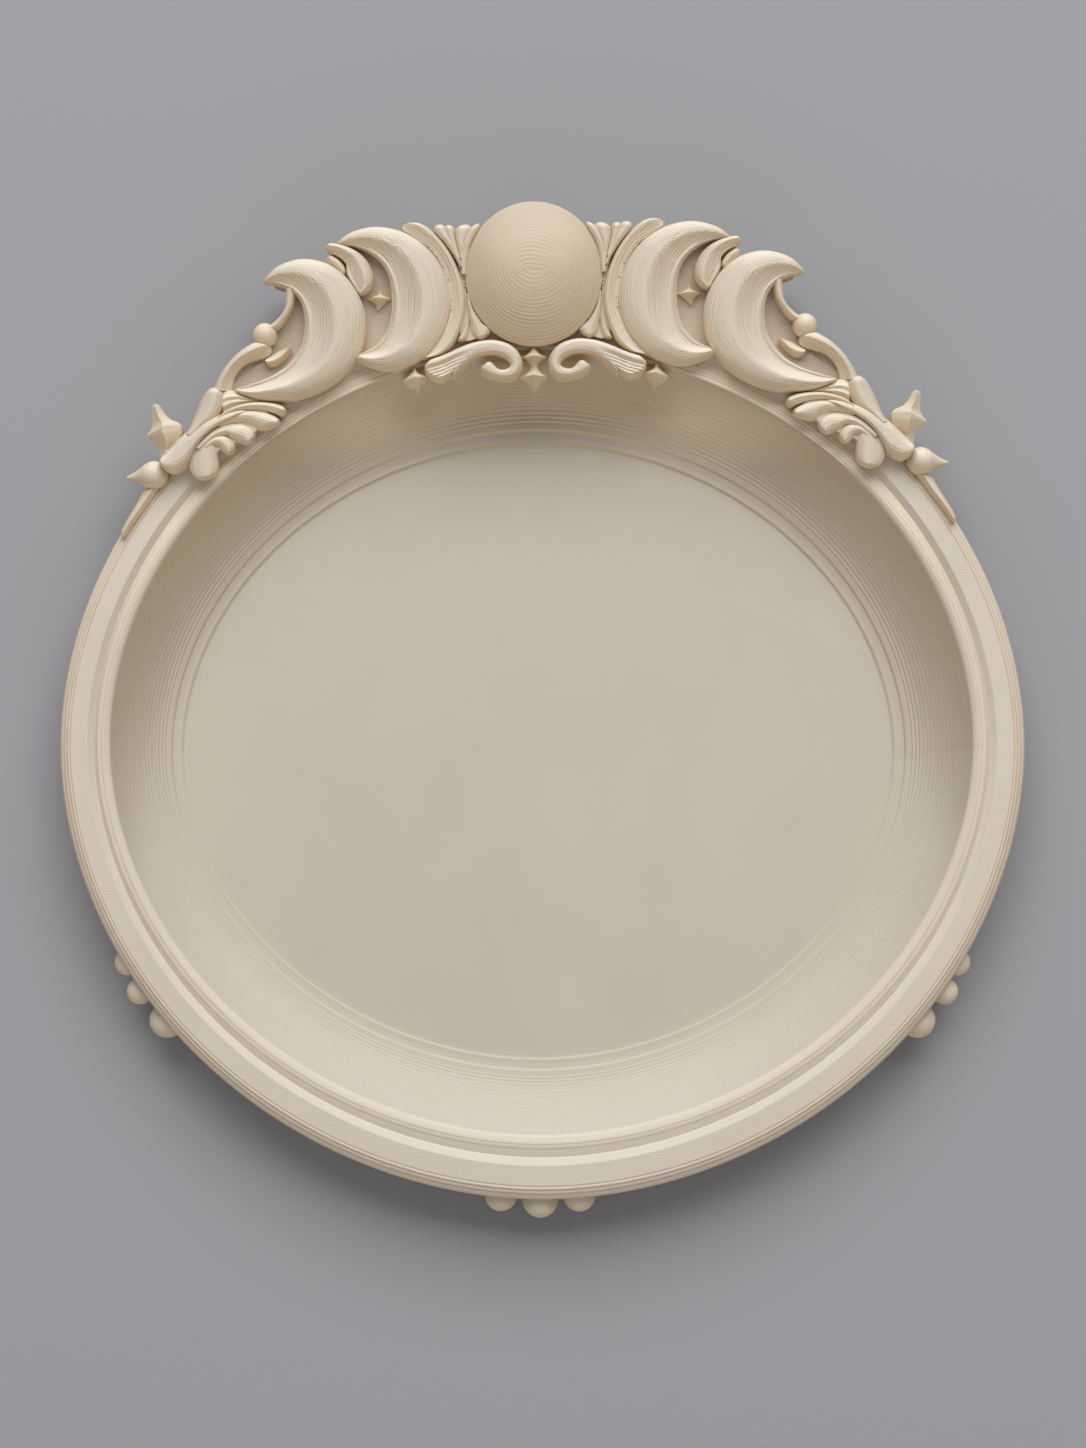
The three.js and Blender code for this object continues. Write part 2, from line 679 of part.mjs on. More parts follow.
const strips = {
  bud: {
    stations: [
      [-73.4, 66.4, -71.6, 65.8], [-72.4, 68, -68.8, 68.2], [-71.5, 70.2, -66.6, 69.9],
      [-70.7, 72.2, -65.4, 71.6], [-69.9, 73.8, -65, 73.4], [-69.3, 75, -65.2, 74.9],
      [-68.4, 75.7, -66.6, 75.7],
    ],
    steps: 9, across: 5, wall: leafWall, crown: budCrown, shape: leaning(0.66, 1.8),
    closes: [0, 0.14],
  },
  tail_leaf: {
    stations: [[-65.4, 75.2, -65.4, 70.2], [-63, 75.3, -63.4, 71.4], [-60.2, 74.1, -60.4, 72.4],
      [-57, 73.1, -57.2, 72.8]],
    steps: 7, across: 6, wall: leafWall, crown: leafCrown, shape: fluted(2, 0.25), closes: [0, 0.1],
  },
  vine_arm: {
    stations: [
      [-56, 84.9, -54.7, 83.9], [-58.4, 85.4, -56, 82.3], [-61, 84.1, -58.4, 81.7],
      [-63, 82.5, -60.4, 81], [-64.9, 80.4, -62, 79.7], [-66.3, 78.2, -63, 78.1],
      [-67.2, 76.3, -63.5, 76.4], [-67.6, 75.2, -63.6, 75.2],
    ],
    steps: 11, across: 5, wall: vineWall, crown: vineCrown, shape: ridged(0.48, 0.12),
    closes: [0.1, 0],
  },
  upper_stem: {
    stations: [
      [-50.1, 96.2, -51.9, 96.6], [-50.1, 94.4, -52, 94.6], [-50.5, 92.4, -52.2, 92.6],
      [-51.6, 90.4, -53.1, 90.9], [-53, 88.6, -54.6, 89.4], [-54.6, 87.5, -56, 88.5],
    ],
    steps: 8, across: 4, wall: vineWall, crown: vineCrown, shape: round, closes: [0, 0],
  },
  leaf_sprig: {
    stations: [
      [-56.6, 81.4, -56.6, 81.7], [-56, 80.5, -56.2, 82.2], [-54.8, 80.2, -55, 82.9],
      [-53.3, 80.8, -54, 83.5], [-52, 82, -53, 83.9], [-51.1, 83.4, -52, 84.3],
      [-51, 84.4, -51.4, 84.5],
    ],
    steps: 7, across: 4, wall: sprigWall, crown: sprigCrown, shape: leaning(0.42, 1.4),
    closes: [0.1, 0.08],
  },
  spike_finial: {
    stations: [
      [-80.1, 73, -79.3, 73], [-80.55, 72.2, -78.7, 72.3], [-80.5, 71, -78, 71],
      [-80.4, 69.8, -77, 70], [-80.4, 68.6, -76, 69.4], [-80.9, 67.4, -75.1, 69.1],
      [-81.7, 66.4, -74.4, 68.3], [-81, 65.6, -74.4, 67], [-80, 64.6, -74.9, 65.6],
      [-79.3, 63.8, -75.6, 64.4], [-79, 63.1, -76.2, 63.4], [-78.9, 62.2, -76, 62.6],
      [-78.8, 61, -75.6, 61.4],
    ],
    steps: 14, across: 2, wall: finialWall, crown: finialCrown, shape: faceted(7),
    closes: [0.05, 0],
    base: plateTop - finialBaseDrop,
  },
  teardrop: {
    stations: [
      [-86.2, 57.95, -86.2, 57.55], [-85, 58.5, -85, 57.15], [-84, 59.1, -83.9, 56.8],
      [-83, 59.85, -82.8, 56.15], [-82, 60.6, -81.9, 55.55], [-80.7, 61.1, -80.6, 55.25],
      [-79.4, 60.95, -79.4, 55.45], [-78.3, 60.2, -78.3, 56.1], [-77.6, 59.2, -77.6, 57.2],
      [-77.4, 58.3, -77.4, 58.1],
    ],
    steps: 10, across: 4, wall: teardropWall, crown: finialCrown, shape: turned(5.9),
    closes: [0.02, 0.1], base: plateTop - quillBaseDrop,
  },
  quill: {
    stations: [
      [-82.4, 55.6, -79, 56], [-84.1, 52.5, -81.2, 52.8], [-85.8, 49.8, -83.4, 50],
      [-87.1, 47.6, -85.3, 47.5], [-87.6, 46.3, -86.3, 46], [-87.3, 45.3, -86.9, 45.2],
    ],
    steps: 8, across: 3, wall: quillWall, crown: quillCrown, shape: leaning(0.62, 1.25),
    closes: [0.05, 0.1],
    base: plateTop - quillBaseDrop,
  },
};

const acanthusStem = {
  stations: [
    [-78.9, 61.3, -78.9, 60.2], [-77.5, 62.7, -77.6, 58.8], [-75.8, 64.4, -76, 58.2],
    [-74.2, 66, -74.3, 58.9], [-72.6, 67.2, -72.9, 60.1], [-70.6, 68.4, -71.9, 62],
    [-68.4, 69.5, -70.8, 63.8], [-66, 70.3, -69.2, 65.7], [-63.6, 71, -67, 67.4],
    [-61, 71.3, -64.6, 68.8], [-58.8, 71.2, -62, 69.9],
  ],
  steps: 15,
  across: 5,
  wall: stemWall,
  crown: stemCrown,
  shape: leaning(0.68, 1.9),
  closes: [0.06, 0.12],
};

// Pendants and stars: each swelling of a strip is a four-sided pyramid
const centrePendant = {
  stations: [
    [-0.4, 83.5, -0.2, 83.5], [-1, 82.7, 0.35, 82.7], [-1.6, 81.9, 1, 81.9],
    [-2.2, 81.5, 1.6, 81.5], [-2.8, 81.2, 2.2, 81.2], [-2, 80.9, 1.5, 80.9],
    [-1.5, 80.2, 0.8, 80.2], [-1.15, 79.6, 0.5, 79.6], [-1.05, 79, 0.45, 79],
    [-1.25, 78.4, 0.7, 78.4], [-1.9, 77.8, 1.3, 77.8], [-2.6, 77.4, 1.9, 77.4],
    [-3.25, 77.1, 2.45, 77.1], [-2.6, 76.7, 1.9, 76.7], [-2.05, 76.1, 1.4, 76.1],
    [-1.4, 75.4, 0.85, 75.4], [-0.95, 74.8, 0.35, 74.8], [-0.6, 74.3, -0.05, 74.3],
    [-0.4, 74, -0.3, 74],
  ],
  steps: 21,
  across: 2,
  wall: pendantWall,
  crown: pendantCrown,
  shape: faceted(5.7),
};

const sidePendant = {
  stations: [
    [-25.4, 79.5, -25.2, 79.5], [-25.9, 78.6, -24.8, 78.6], [-26.5, 77.9, -24.1, 78.1],
    [-27.2, 77.3, -23.3, 77.8], [-27.7, 76.8, -22.7, 77.5], [-27.4, 76.2, -23.2, 76.6],
    [-26.7, 75.6, -23.8, 75.9], [-25.9, 75.3, -24.1, 75.4], [-25.4, 74.9, -24.35, 74.8],
    [-25.1, 74.4, -24.5, 74.4], [-24.85, 74.05, -24.7, 74.05],
  ],
  steps: 13,
  across: 2,
  wall: pendantWall,
  crown: pendantCrown,
  shape: faceted(5),
};

const smallStar = {
  stations: [
    [-32.45, 96.3, -32.3, 96.3], [-32.7, 95.6, -32.1, 95.6], [-33, 95, -31.8, 95],
    [-33.6, 94.6, -31.3, 94.6], [-34.9, 94.15, -30.1, 94.05], [-34, 93.6, -30.9, 93.5],
    [-33.5, 92.9, -31.4, 92.8], [-33.2, 92.2, -31.9, 92.1], [-33.1, 91.5, -32.3, 91.5],
    [-32.9, 90.9, -32.7, 90.9],
  ],
  steps: 13,
  across: 2,
  wall: starWall,
  crown: starCrown,
  shape: faceted(4.8),
};

const stemBall = {
  centre: [-56.5, 86.8],
  outline: (angle) => [ballRadius * Math.cos(angle), ballRadius * Math.sin(angle)],
  segments: 16,
  rings: 4,
  wall: ballWall,
  crown: ballRadius,
  profile: (reach) => Math.sqrt(1 - reach ** 2),
};

function lobes(list, { wall, crown, closes, webPoints, webHeight }, sign) {
  const leaves = list.map((stations) => carvedStrip({
    stations, steps: 6, across: 3, wall, crown, shape: round, closes,
  }, sign));
  return joined([...leaves, web(webPoints, webHeight, sign)]);
}

// Carvings in the order they are laid: each one is scribed round those laid before it
const layingOrder = [
  ['inner_crescent', (sign) => carvedStrip(innerCrescent, sign)],
  ['outer_crescent', (sign) => carvedStrip(outerCrescent, sign)],
  ['c_scroll', (sign) => joined([carvedStrip(scroll, sign), carvedStrip(fanLeaf, sign)])],
  ['side_pendant', (sign) => carvedStrip(sidePendant, sign)],
  ['halo_ridge', (sign) => carvedStrip(haloRidge, sign)],
  ['wave_curl', (sign) => carvedStrip(waveCurl, sign)],
  ['palmette', (sign) => lobes(palmetteLobes, {
    wall: leafWall, crown: leafCrown, closes: [0.2, 0], webPoints: palmetteWeb, webHeight: leafWall,
  }, sign)],
  ['leaf_drop', (sign) => lobes(leafDropLobes, {
    wall: dropWall, crown: dropCrown, closes: [0.04, 0.12], webPoints: leafDropWeb,
    webHeight: dropWall,
  }, sign)],
  ['small_star', (sign) => carvedStrip(smallStar, sign)],
  ['acanthus_stem', (sign) => carvedStrip(acanthusStem, sign)],
  ['acanthus_leaves', (sign) => lobes(acanthusLobes, {
    wall: lobeWall, crown: lobeCrown, closes: [0, 0.14], webPoints: lobeWeb, webHeight: lobeWall,
  }, sign)],
  ['stem_ball', (sign) => raisedBoss(stemBall, sign)],
  ...Object.entries(strips).map(([name, piece]) => [name, (sign) => carvedStrip(piece, sign)]),
];

// The plate's outer outline on the left, from the foot of the crest up to the middle
const plateOutline = [drawnFoot, [-78.3, 62.8], [-76.4, 63.6], [-74.9, 64.8], [-71.6, 67.6],
  [-70.5, 71.5], [-69, 74.6], [-67, 75.4], [-65.5, 78], [-63, 81.4], [-60, 84], [-57.8, 85.2],
  [-58.2, 87.2], [-55.6, 88], [-52.8, 90.8], [-51.5, 93.6], [-51.6, 96.6], [-55.2, 98.3],
  [-52.6, 100.2], [-48, 101.4], [-43.6, 101.5], [-42.2, 102.8], [-42, 104.6], [-37.6, 106.8],
  [-32.4, 107.8], [-27.6, 107.4], [-25.4, 108.8], [-22, 107.6], [-19.6, 108.4], [-14.6, 108.4],
  [-11, 107.4], [-7.2, 109.4], [-3.7, 111], drawnPeak];

function makeBackplate(clearance) {
  const left = plateOutline.map((p) => drawn(p));
  const right = plateOutline.slice(0, -1).reverse().map((p) => drawn(p, -1));
  const lapSteps = 30;
  const [footX, footY] = drawn(plateOutline[0]);
  const oval = ovalAt(plateLap);
  const foot = Math.atan2(footY / oval.y, -footX / oval.x);
  const lap = Array.from({ length: lapSteps + 1 }, (_, i) => (
    ovalPoint(plateLap, foot + (i / lapSteps) * (Math.PI - 2 * foot), -crestTurn)
  ));
  const outline = [...left, ...right, ...lap];
  const solid = largestPiece(prism(outline, plateBottom, plateTop).subtract(clearance));
  return { solid, outline };
}

// Scribes a carving round the rim, the plate and its neighbours, leaving the fitting gap
function scribed(piece, cutters) {
  const box = piece.solid.boundingBox();
  const near = cutters.filter(({ bounds }) => (
    bounds.min[0] < box.max[0] && bounds.max[0] > box.min[0]
    && bounds.min[1] < box.max[1] && bounds.max[1] > box.min[1]
  ));
  return largestPiece(near.reduce((solid, cutter) => solid.subtract(cutter.solid), piece.solid));
}

function cutterFor(outline, high) {
  const solid = prism(grown(outline, fitGap), plateBottom - plateThickness, high);
  return { solid, bounds: solid.boundingBox() };
}

function makeCrest() {
  const clearance = rimClearance();
  const plate = makeBackplate(clearance);
  const aboveAll = plateTop + trayHeight;
  const cutters = [
    { solid: clearance, bounds: clearance.boundingBox() },
    cutterFor(plate.outline, plateTop),
  ];
  const made = [['crest_backplate', plate.solid]];
  const lay = (name, piece) => {
    made.push([name, scribed(piece, cutters)]);
    cutters.push(...piece.outlines.map((outline) => cutterFor(outline, aboveAll)));
  };
  lay('full_moon', raisedBoss(fullMoon, 1));
  lay('centre_pendant', carvedStrip(centrePendant, 1));
  for (const [name, make] of layingOrder) {
    lay(`${name}_left`, make(1));
    lay(`${name}_right`, make(-1));
  }
  return made;
}

// Materials: one ivory print, each piece with its own material

const ivory = 0xd2c7b6;

function mesh(name, solid, tone = 1) {
  const color = new THREE.Color(ivory).multiplyScalar(tone);
  const material = new THREE.MeshStandardMaterial({ color, roughness: 0.7, metalness: 0 });
  const piece = new THREE.Mesh(geometryOf(solid), material);
  piece.name = name;
  return piece;
}

const tray = new THREE.Group();
tray.add(mesh('tray_basin', makeTrayBasin(), 0.96));
tray.add(mesh('rim_moulding', makeRimMoulding()));

const beadSeat = edgeClearance();
const frontBeads = [
  { name: 'bead_front_centre', bearing: frontBearing, out: frontBeadOut, radius: frontBeadRadius },
  ...[-1, 1].map((sign) => ({
    name: `bead_front_${sign < 0 ? 'left' : 'right'}`,
    bearing: frontBearing + sign * frontBeadStep,
    out: frontSideBeadOut,
    radius: frontSideBeadRadius,
  })),
];
const leftBeads = sideBeads.map((bead) => ({ ...bead, name: `bead_left_${bead.name}` }));
const rightBeads = sideBeads.map((bead) => (
  { ...bead, name: `bead_right_${bead.name}`, bearing: 540 - bead.bearing }
));
for (const bead of [...frontBeads, ...leftBeads, ...rightBeads]) {
  tray.add(mesh(bead.name, makeBead(bead, beadSeat)));
}

const crest = new THREE.Group();
crest.rotation.z = crestTurn;
for (const [name, solid] of makeCrest()) {
  crest.add(mesh(name, solid, name === 'crest_backplate' ? 0.95 : 1));
}
tray.add(crest);

export default tray;
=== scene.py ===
"""Oval display tray with a moon crest, dressed for its picture.

Every carving is a surface over two rails or round an oval, in the part's own frame and in metres.
Sizes in the tables below are millimetres of the crest's drawing, x to the right and y to the crest.
"""

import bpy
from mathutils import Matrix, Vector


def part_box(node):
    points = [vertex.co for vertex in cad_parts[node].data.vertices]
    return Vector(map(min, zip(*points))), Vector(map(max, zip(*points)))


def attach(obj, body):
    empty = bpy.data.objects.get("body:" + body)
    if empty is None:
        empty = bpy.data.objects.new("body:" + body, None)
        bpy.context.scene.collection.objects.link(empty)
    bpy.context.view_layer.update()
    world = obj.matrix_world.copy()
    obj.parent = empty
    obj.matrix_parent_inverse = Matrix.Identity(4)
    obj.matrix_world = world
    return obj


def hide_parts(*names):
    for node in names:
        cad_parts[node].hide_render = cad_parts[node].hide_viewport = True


bl_info = {
    "name": "Moon Crest Tray",
    "version": (1, 0, 0),
    "blender": (4, 5, 0),
    "location": "View3D > Sidebar > Tray",
    "description": "Builds an oval display tray with a carved moon crest",
    "category": "Object",
}

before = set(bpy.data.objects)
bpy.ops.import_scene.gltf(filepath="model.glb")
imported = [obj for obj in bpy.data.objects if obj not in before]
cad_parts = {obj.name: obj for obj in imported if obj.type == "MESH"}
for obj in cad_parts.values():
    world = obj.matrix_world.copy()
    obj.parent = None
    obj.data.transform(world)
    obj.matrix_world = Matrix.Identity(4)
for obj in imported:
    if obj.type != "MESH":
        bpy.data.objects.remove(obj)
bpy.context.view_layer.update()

import math

import bmesh
import bpy
import numpy as np
from bpy.props import FloatProperty, FloatVectorProperty, PointerProperty

MM = 0.001

# Sizes of the tray that the frame gives

rim_low, rim_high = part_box("rim_moulding")
plate_low, plate_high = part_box("crest_backplate")


def length_property(name, description, default):
    """A length that a user may change, in metres."""
    return FloatProperty(name=name, description=description, default=default,
                         subtype='DISTANCE', unit='LENGTH')


def angle_property(name, description, degrees):
    """An angle that a user may change."""
    return FloatProperty(name=name, description=description, default=math.radians(degrees),
                         subtype='ANGLE', unit='ROTATION')


def colour_property(name, description, default):
    """A colour that a user may change."""
    return FloatVectorProperty(name=name, description=description, default=(*default, 1),
                               subtype='COLOR', size=4, min=0, max=1)


class TraySizes(bpy.types.PropertyGroup):
    """Sizes of the oval tray."""
    width: length_property("Width", "Width across the rim", rim_high[0] - rim_low[0])
    length: length_property("Length", "Length of the rim, front to back",
                            rim_high[1] - rim_low[1])
    height: length_property("Height", "Height of the rim's band above the table", rim_high[2])
    floor_thickness: length_property("Floor thickness", "Thickness of the dish's floor", 3 * MM)
    oval_exponent: FloatProperty(
        name="Oval exponent", description="2 is a true ellipse, more is squarer", default=1.94)


class CrestSizes(bpy.types.PropertyGroup):
    """Sizes of the crest."""
    turn: angle_property("Turn", "How far the crest sits off square", 1.05)
    peak_out: length_property("Peak out", "How far the crest's peak stands out from the rim",
                              16.4 * MM)
    foot_out: length_property("Foot out", "How far the crest's feet stand out from the rim",
                              1.2 * MM)
    plate_top: length_property("Plate top", "Height of the backplate's face", plate_high[2])
    moon_width: length_property("Moon width", "Width of the full moon", 28.2 * MM)
    moon_length: length_property("Moon length", "Length of the full moon", 29.7 * MM)
    moon_wall: length_property("Moon wall", "Upright edge of the full moon", 3.2 * MM)
    moon_crown: length_property("Moon crown", "Height of the full moon's dome above its edge",
                                5 * MM)
    crescent_wall: length_property("Crescent wall", "Upright edge of the crescents", 2.4 * MM)
    crescent_crown: length_property(
        "Crescent crown", "Height of the crescents' ridge above their edge", 3.4 * MM)


class PrintFinish(bpy.types.PropertyGroup):
    """Finish of the printed plastic."""
    layer_height: length_property("Layer height", "Height of one printed layer", 0.4 * MM)
    layer_depth: length_property("Layer depth", "Depth of the line between two layers", 0.07 * MM)
    road_width: length_property("Road width", "Width of one printed line on a flat face",
                                0.42 * MM)
    # Warm edge: tints narrow carvings, and the painted shade lines and row tint on rim and dish
    warm: colour_property("Warm edge", "Colour where the plastic is thin or seamed",
                          (0.60, 0.43, 0.26))


class StageSettings(bpy.types.PropertyGroup):
    """Camera, lights and floor."""
    camera_height: length_property("Camera height", "Height of the camera above the rim", 0.55)
    frame_length: length_property("Frame length", "Length that the picture covers at the rim",
                                  0.301)
    floor_colour: colour_property("Floor", "Colour of the floor", (0.334, 0.34, 0.359))
    key_energy: FloatProperty(
        name="Key light", description="Energy of the light from the crest's side", default=60.0)
    key_rise: angle_property("Key rise", "How high the key light stands", 40)
    fill_energy: FloatProperty(
        name="Fill light", description="Energy of the weak light from the front", default=8.5)
    sky: FloatProperty(
        name="Sky", description="Strength of the light from all round", default=0.27)


# Meshes

def closed_mesh(name, shells, crease=32.0):
    """One mesh from closed shells of (vertices in mm, faces, grain at the vertices).

    The grain is the distance across and along the piece in mm, then from 0 to 1 how thin it is,
    or on the rim and dish the strength of its painted shade lines and row tint. Doubled points
    where a shell closes on itself and at poles are merged, faces are turned to point outwards,
    and edges bent by more than the crease angle stay sharp.
    """
    mesh = bpy.data.meshes.new(name)
    counts = np.cumsum([0] + [len(shell[0]) for shell in shells])
    vertices = np.concatenate([shell[0] for shell in shells]) * MM
    faces = [[index + start for index in face]
             for start, shell in zip(counts, shells) for face in shell[1]]
    mesh.from_pydata(vertices.tolist(), [], faces)
    grain = mesh.attributes.new("grain", 'FLOAT_VECTOR', 'POINT')
    values = np.concatenate([shell[2] for shell in shells]).astype(np.float32)
    grain.data.foreach_set("vector", values.ravel())
    form = bmesh.new()
    form.from_mesh(mesh)
    bmesh.ops.remove_doubles(form, verts=form.verts, dist=1e-7)
    bmesh.ops.dissolve_degenerate(form, edges=form.edges, dist=1e-8)
    bmesh.ops.recalc_face_normals(form, faces=form.faces)
    form.to_mesh(mesh)
    form.free()
    mesh.shade_smooth()
    mesh.set_sharp_from_angle(angle=math.radians(crease))
    return mesh


def triples(first, second, third):
    """One row of three values for each vertex, from arrays that spread over one another."""
    return np.stack(np.broadcast_arrays(first, second, third), axis=-1).reshape(-1, 3)


def turns(count):
    """Angles of a whole turn at an even distance."""
    return np.linspace(0, 2 * np.pi, count, endpoint=False)


def new_object(name, data):
    """An object in the scene's collection."""
    thing = bpy.data.objects.new(name, data)
    bpy.context.collection.objects.link(thing)
    return thing


def add_piece(node, shells, finish="Ivory carving", crease=32.0):
    """Adds the piece that stands for one CAD node, from its closed shells."""
    mesh = closed_mesh(f"{node}_print", shells, crease)
    mesh.materials.append(finish_named(finish))
    piece = new_object(f"{node}_print", mesh)
    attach(piece, "root")
    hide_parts(node)


def grid_faces(rows, columns, ring=False):
    """Quads over a grid whose columns close on themselves.

    The rows close too on a ring, and else a flat face closes each end.
    """
    last = rows if ring else rows - 1
    i, j = np.meshgrid(np.arange(last), np.arange(columns), indexing="ij")
    below = (i + 1) % rows
    beside = (j + 1) % columns
    quads = np.stack([i * columns + j, i * columns + beside,
                      below * columns + beside, below * columns + j], axis=-1)
    faces = quads.reshape(-1, 4).tolist()
    if not ring:
        top = (rows - 1) * columns
        faces.append(list(range(columns - 1, -1, -1)))
        faces.append(list(range(top, top + columns)))
    return faces


# Curves and profiles

def smooth_step(value, low, high):
    """0 below low, 1 above high and a smooth rise between."""
    k = np.clip((value - low) / (high - low), 0, 1)
    return k * k * (3 - 2 * k)


def catmull_rom(points, t):
    """Uniform Catmull-Rom curve through the points, at t from 0 to 1."""
    points = np.asarray(points, float)
    padded = np.vstack([2 * points[0] - points[1], points, 2 * points[-1] - points[-2]])
    place = np.clip(np.asarray(t), 0, 1) * (len(points) - 1)
    cell = np.minimum(place.astype(int), len(points) - 2)
    w = (place - cell)[:, None]
    p0, p1, p2, p3 = (padded[cell + k] for k in range(4))
    slope1 = (p2 - p0) / 2
    slope2 = (p3 - p1) / 2
    return (p1 + slope1 * w + (3 * (p2 - p1) - 2 * slope1 - slope2) * w ** 2
            + (2 * (p1 - p2) + slope1 + slope2) * w ** 3)


def filleted(corners, radius, steps=5):
    """A polyline with each inner corner replaced by a parabola that starts radius before it."""
    corners = np.asarray(corners, float)
    path = [corners[0]]
    for before, corner, after in zip(corners, corners[1:], corners[2:]):
        come, go = before - corner, after - corner
        reach_in = min(radius, 0.45 * np.hypot(*come))
        reach_out = min(radius, 0.45 * np.hypot(*go))
        start = corner + come / np.hypot(*come) * reach_in
        end = corner + go / np.hypot(*go) * reach_out
        for w in np.linspace(0, 1, steps):
            path.append((1 - w) ** 2 * start + 2 * w * (1 - w) * corner + w ** 2 * end)
    path.append(corners[-1])
    return np.array(path)


# The tray's ovals, in millimetres: an inset from the outer edge gives one oval. A fall is below
# the top of the rim, a shift is towards the crest, and a slide is to the right.

AROUND = 360

# Rim moulding, from its reeds to the groove beside the basin
REEDS = 3
REED_BAND = (2.5, 3.1)
REED_START = 0.16
REED_DEPTH = 0.15
REED_ROLL = 1.35
REED_FULLNESS = 0.8
# Painted shade in the valleys between the reeds: width and strength of its lines
REED_SHADE_LINE = (0.12, 1.7)
BRIM_STEP = (0.03, 0.14)
BAND_INSET = 6.3
BAND_FALL = 0.1
RIM_TUCK = 0.15

# Basin, from the groove over its lip to the floor
GROOVE_INSET = 7.8
GROOVE_FALL = 0.75
GROOVE_BEVEL = 0.2
GROOVE_STRIP = (1.3, 0.22)
LIP_INSET = 10.25
LIP_FALL = 0.3
LIP_SLOPE = 0.75
LIP_SHIFT = 0.8
LIP_SLIDE = -0.2
RIM_WIDTH = 11.7
RIM_WIDTH_AT_SIDES = 10.6
RIM_WIDTH_AT_ENDS = 12.7
COVE_WIDTH = 13.7
COVE_TOE = 2.6
COVE_ELLIPSE = 0.12
TERRACES = (0.4, 1.1)
TERRACE_LIFT = 0.22
LINE_PITCH = 0.68
STEP_STRENGTH = (0.35, 1.3)
STEP_LIFT = (0.14, 0.4)
FLOOR_INSET = RIM_WIDTH + COVE_WIDTH
FLOOR_INSET_AT_SIDES = 24.9
FLOOR_INSET_AT_ENDS = 28.9
FLOOR_SHIFT = -1.05
FLOOR_SLIDE = -0.95

# The seat under the rim and the flared underside
SEAT_START = 0.8
SEAT_STEP = 1.0
SEAT_GAP = 0.05
BASE_INSET = 12.5
FLARE_INSET = 2.0

# Ridge along the lip: size, how deep it lies, its spread in degrees and its place in the grain
RIDGE_RADIUS = 0.6
RIDGE_SINK = 0.45
RIDGE_SPREAD = 46
RIDGE_GRAIN = 10.5

# How far past the groove's edge and how far below the lip: a riser with a notch, a shoulder
LIP_STEPS = ((1.7, 0.06), (2.08, 0.03), (2.18, 0.08), (2.28, 0.01))
LIP_SHOULDER = ((2.8, 0.1), (3.4, 0.38))

# Painted shade on the lip, in lines over the groove's strip, at its step and in the notch:
# place past the groove's edge, width and strength
LIP_SHADE_LINES = ((0.9, 0.5, 0.35), (1.4, 0.16, 0.8), (2.18, 0.08, 2.6))

# Where an inset lies at the left and right sides, as the photo shows it
SIDE_INSETS = {
    0: 0, BAND_INSET: BAND_INSET - 0.35, GROOVE_INSET: GROOVE_INSET - 0.4,
    GROOVE_INSET + 1.5: GROOVE_INSET + 0.15, LIP_INSET: LIP_INSET - 0.95,
    RIM_WIDTH: RIM_WIDTH_AT_SIDES, FLOOR_INSET: FLOOR_INSET_AT_SIDES}


def oval_axes(inset):
    """Half width, half length and shift of the oval at each inset."""
    sizes = bpy.context.scene.tray_sizes
    half_x = sizes.width / MM / 2
    half_y = sizes.length / MM / 2
    a = half_x - np.interp(inset, [*SIDE_INSETS, half_x], [*SIDE_INSETS.values(), half_x])
    stops = [0, RIM_WIDTH, FLOOR_INSET, half_x]
    b = half_y - np.interp(inset, stops, [0, RIM_WIDTH_AT_ENDS, FLOOR_INSET_AT_ENDS, half_y])
    shift = np.interp(inset, stops, [0, LIP_SHIFT, FLOOR_SHIFT, FLOOR_SHIFT])
    return a, b, shift


def oval_points(inset, bearing):
    """Points on the ovals: cosine and sine of the bearing raised to 2 / exponent."""
    power = 2 / bpy.context.scene.tray_sizes.oval_exponent
    a, b, shift = oval_axes(inset)
    c, s = np.cos(bearing), np.sin(bearing)
    slide = np.interp(inset, [0, RIM_WIDTH, FLOOR_INSET], [0, LIP_SLIDE, FLOOR_SLIDE])
    x = a * np.sign(c) * np.abs(c) ** power + slide
    y = b * np.sign(s) * np.abs(s) ** power + shift
    return x, y


def oval_shell(profile, shade_lines, tint=0.0, ring=False):
    """A profile of (inset, height) carried round the ovals, as rows over bearings.

    The grain counts as thin along each shade line, a flecked line of painted shade on the upper
    side at an inset, with its width and strength. It is fainter where the bearing nears the crest
    or the front. The tint of each row adds to it.
    """
    inset, height = np.asarray(profile).T[..., None]
    bearing = turns(AROUND)[None, :]
    x, y = oval_points(inset, bearing)
    fleck = np.random.default_rng(3).uniform(0.2, 1.15, AROUND)
    fleck = (fleck + np.roll(fleck, 1)) / 2
    line = np.zeros_like(x)
    for at, width, strength in shade_lines:
        place = np.exp(-((inset - at) / width) ** 2) * (0.25 + 0.75 * np.abs(np.cos(bearing)))
        line += strength * place * np.roll(fleck, int(at * 37))
    line *= height > 0.7 * height.max()
    line += np.reshape(tint, (-1, 1)) * (0.6 + 0.5 * np.roll(fleck, 90))
    grain = triples(inset, bearing * 90, np.minimum(line, 1))
    return triples(x, y, height), grid_faces(len(inset), AROUND, ring), grain


def inset_of(x, y):
    """About how far a point lies inside the rim's outer edge, measured towards the middle."""
    sizes = bpy.context.scene.tray_sizes
    p = sizes.oval_exponent
    reach = (np.abs(2 * x * MM / sizes.width) ** p + np.abs(2 * y * MM / sizes.length) ** p)
    reach = np.maximum(reach, 1e-9) ** (1 / p)
    return (1 / reach - 1) * np.hypot(x, y)


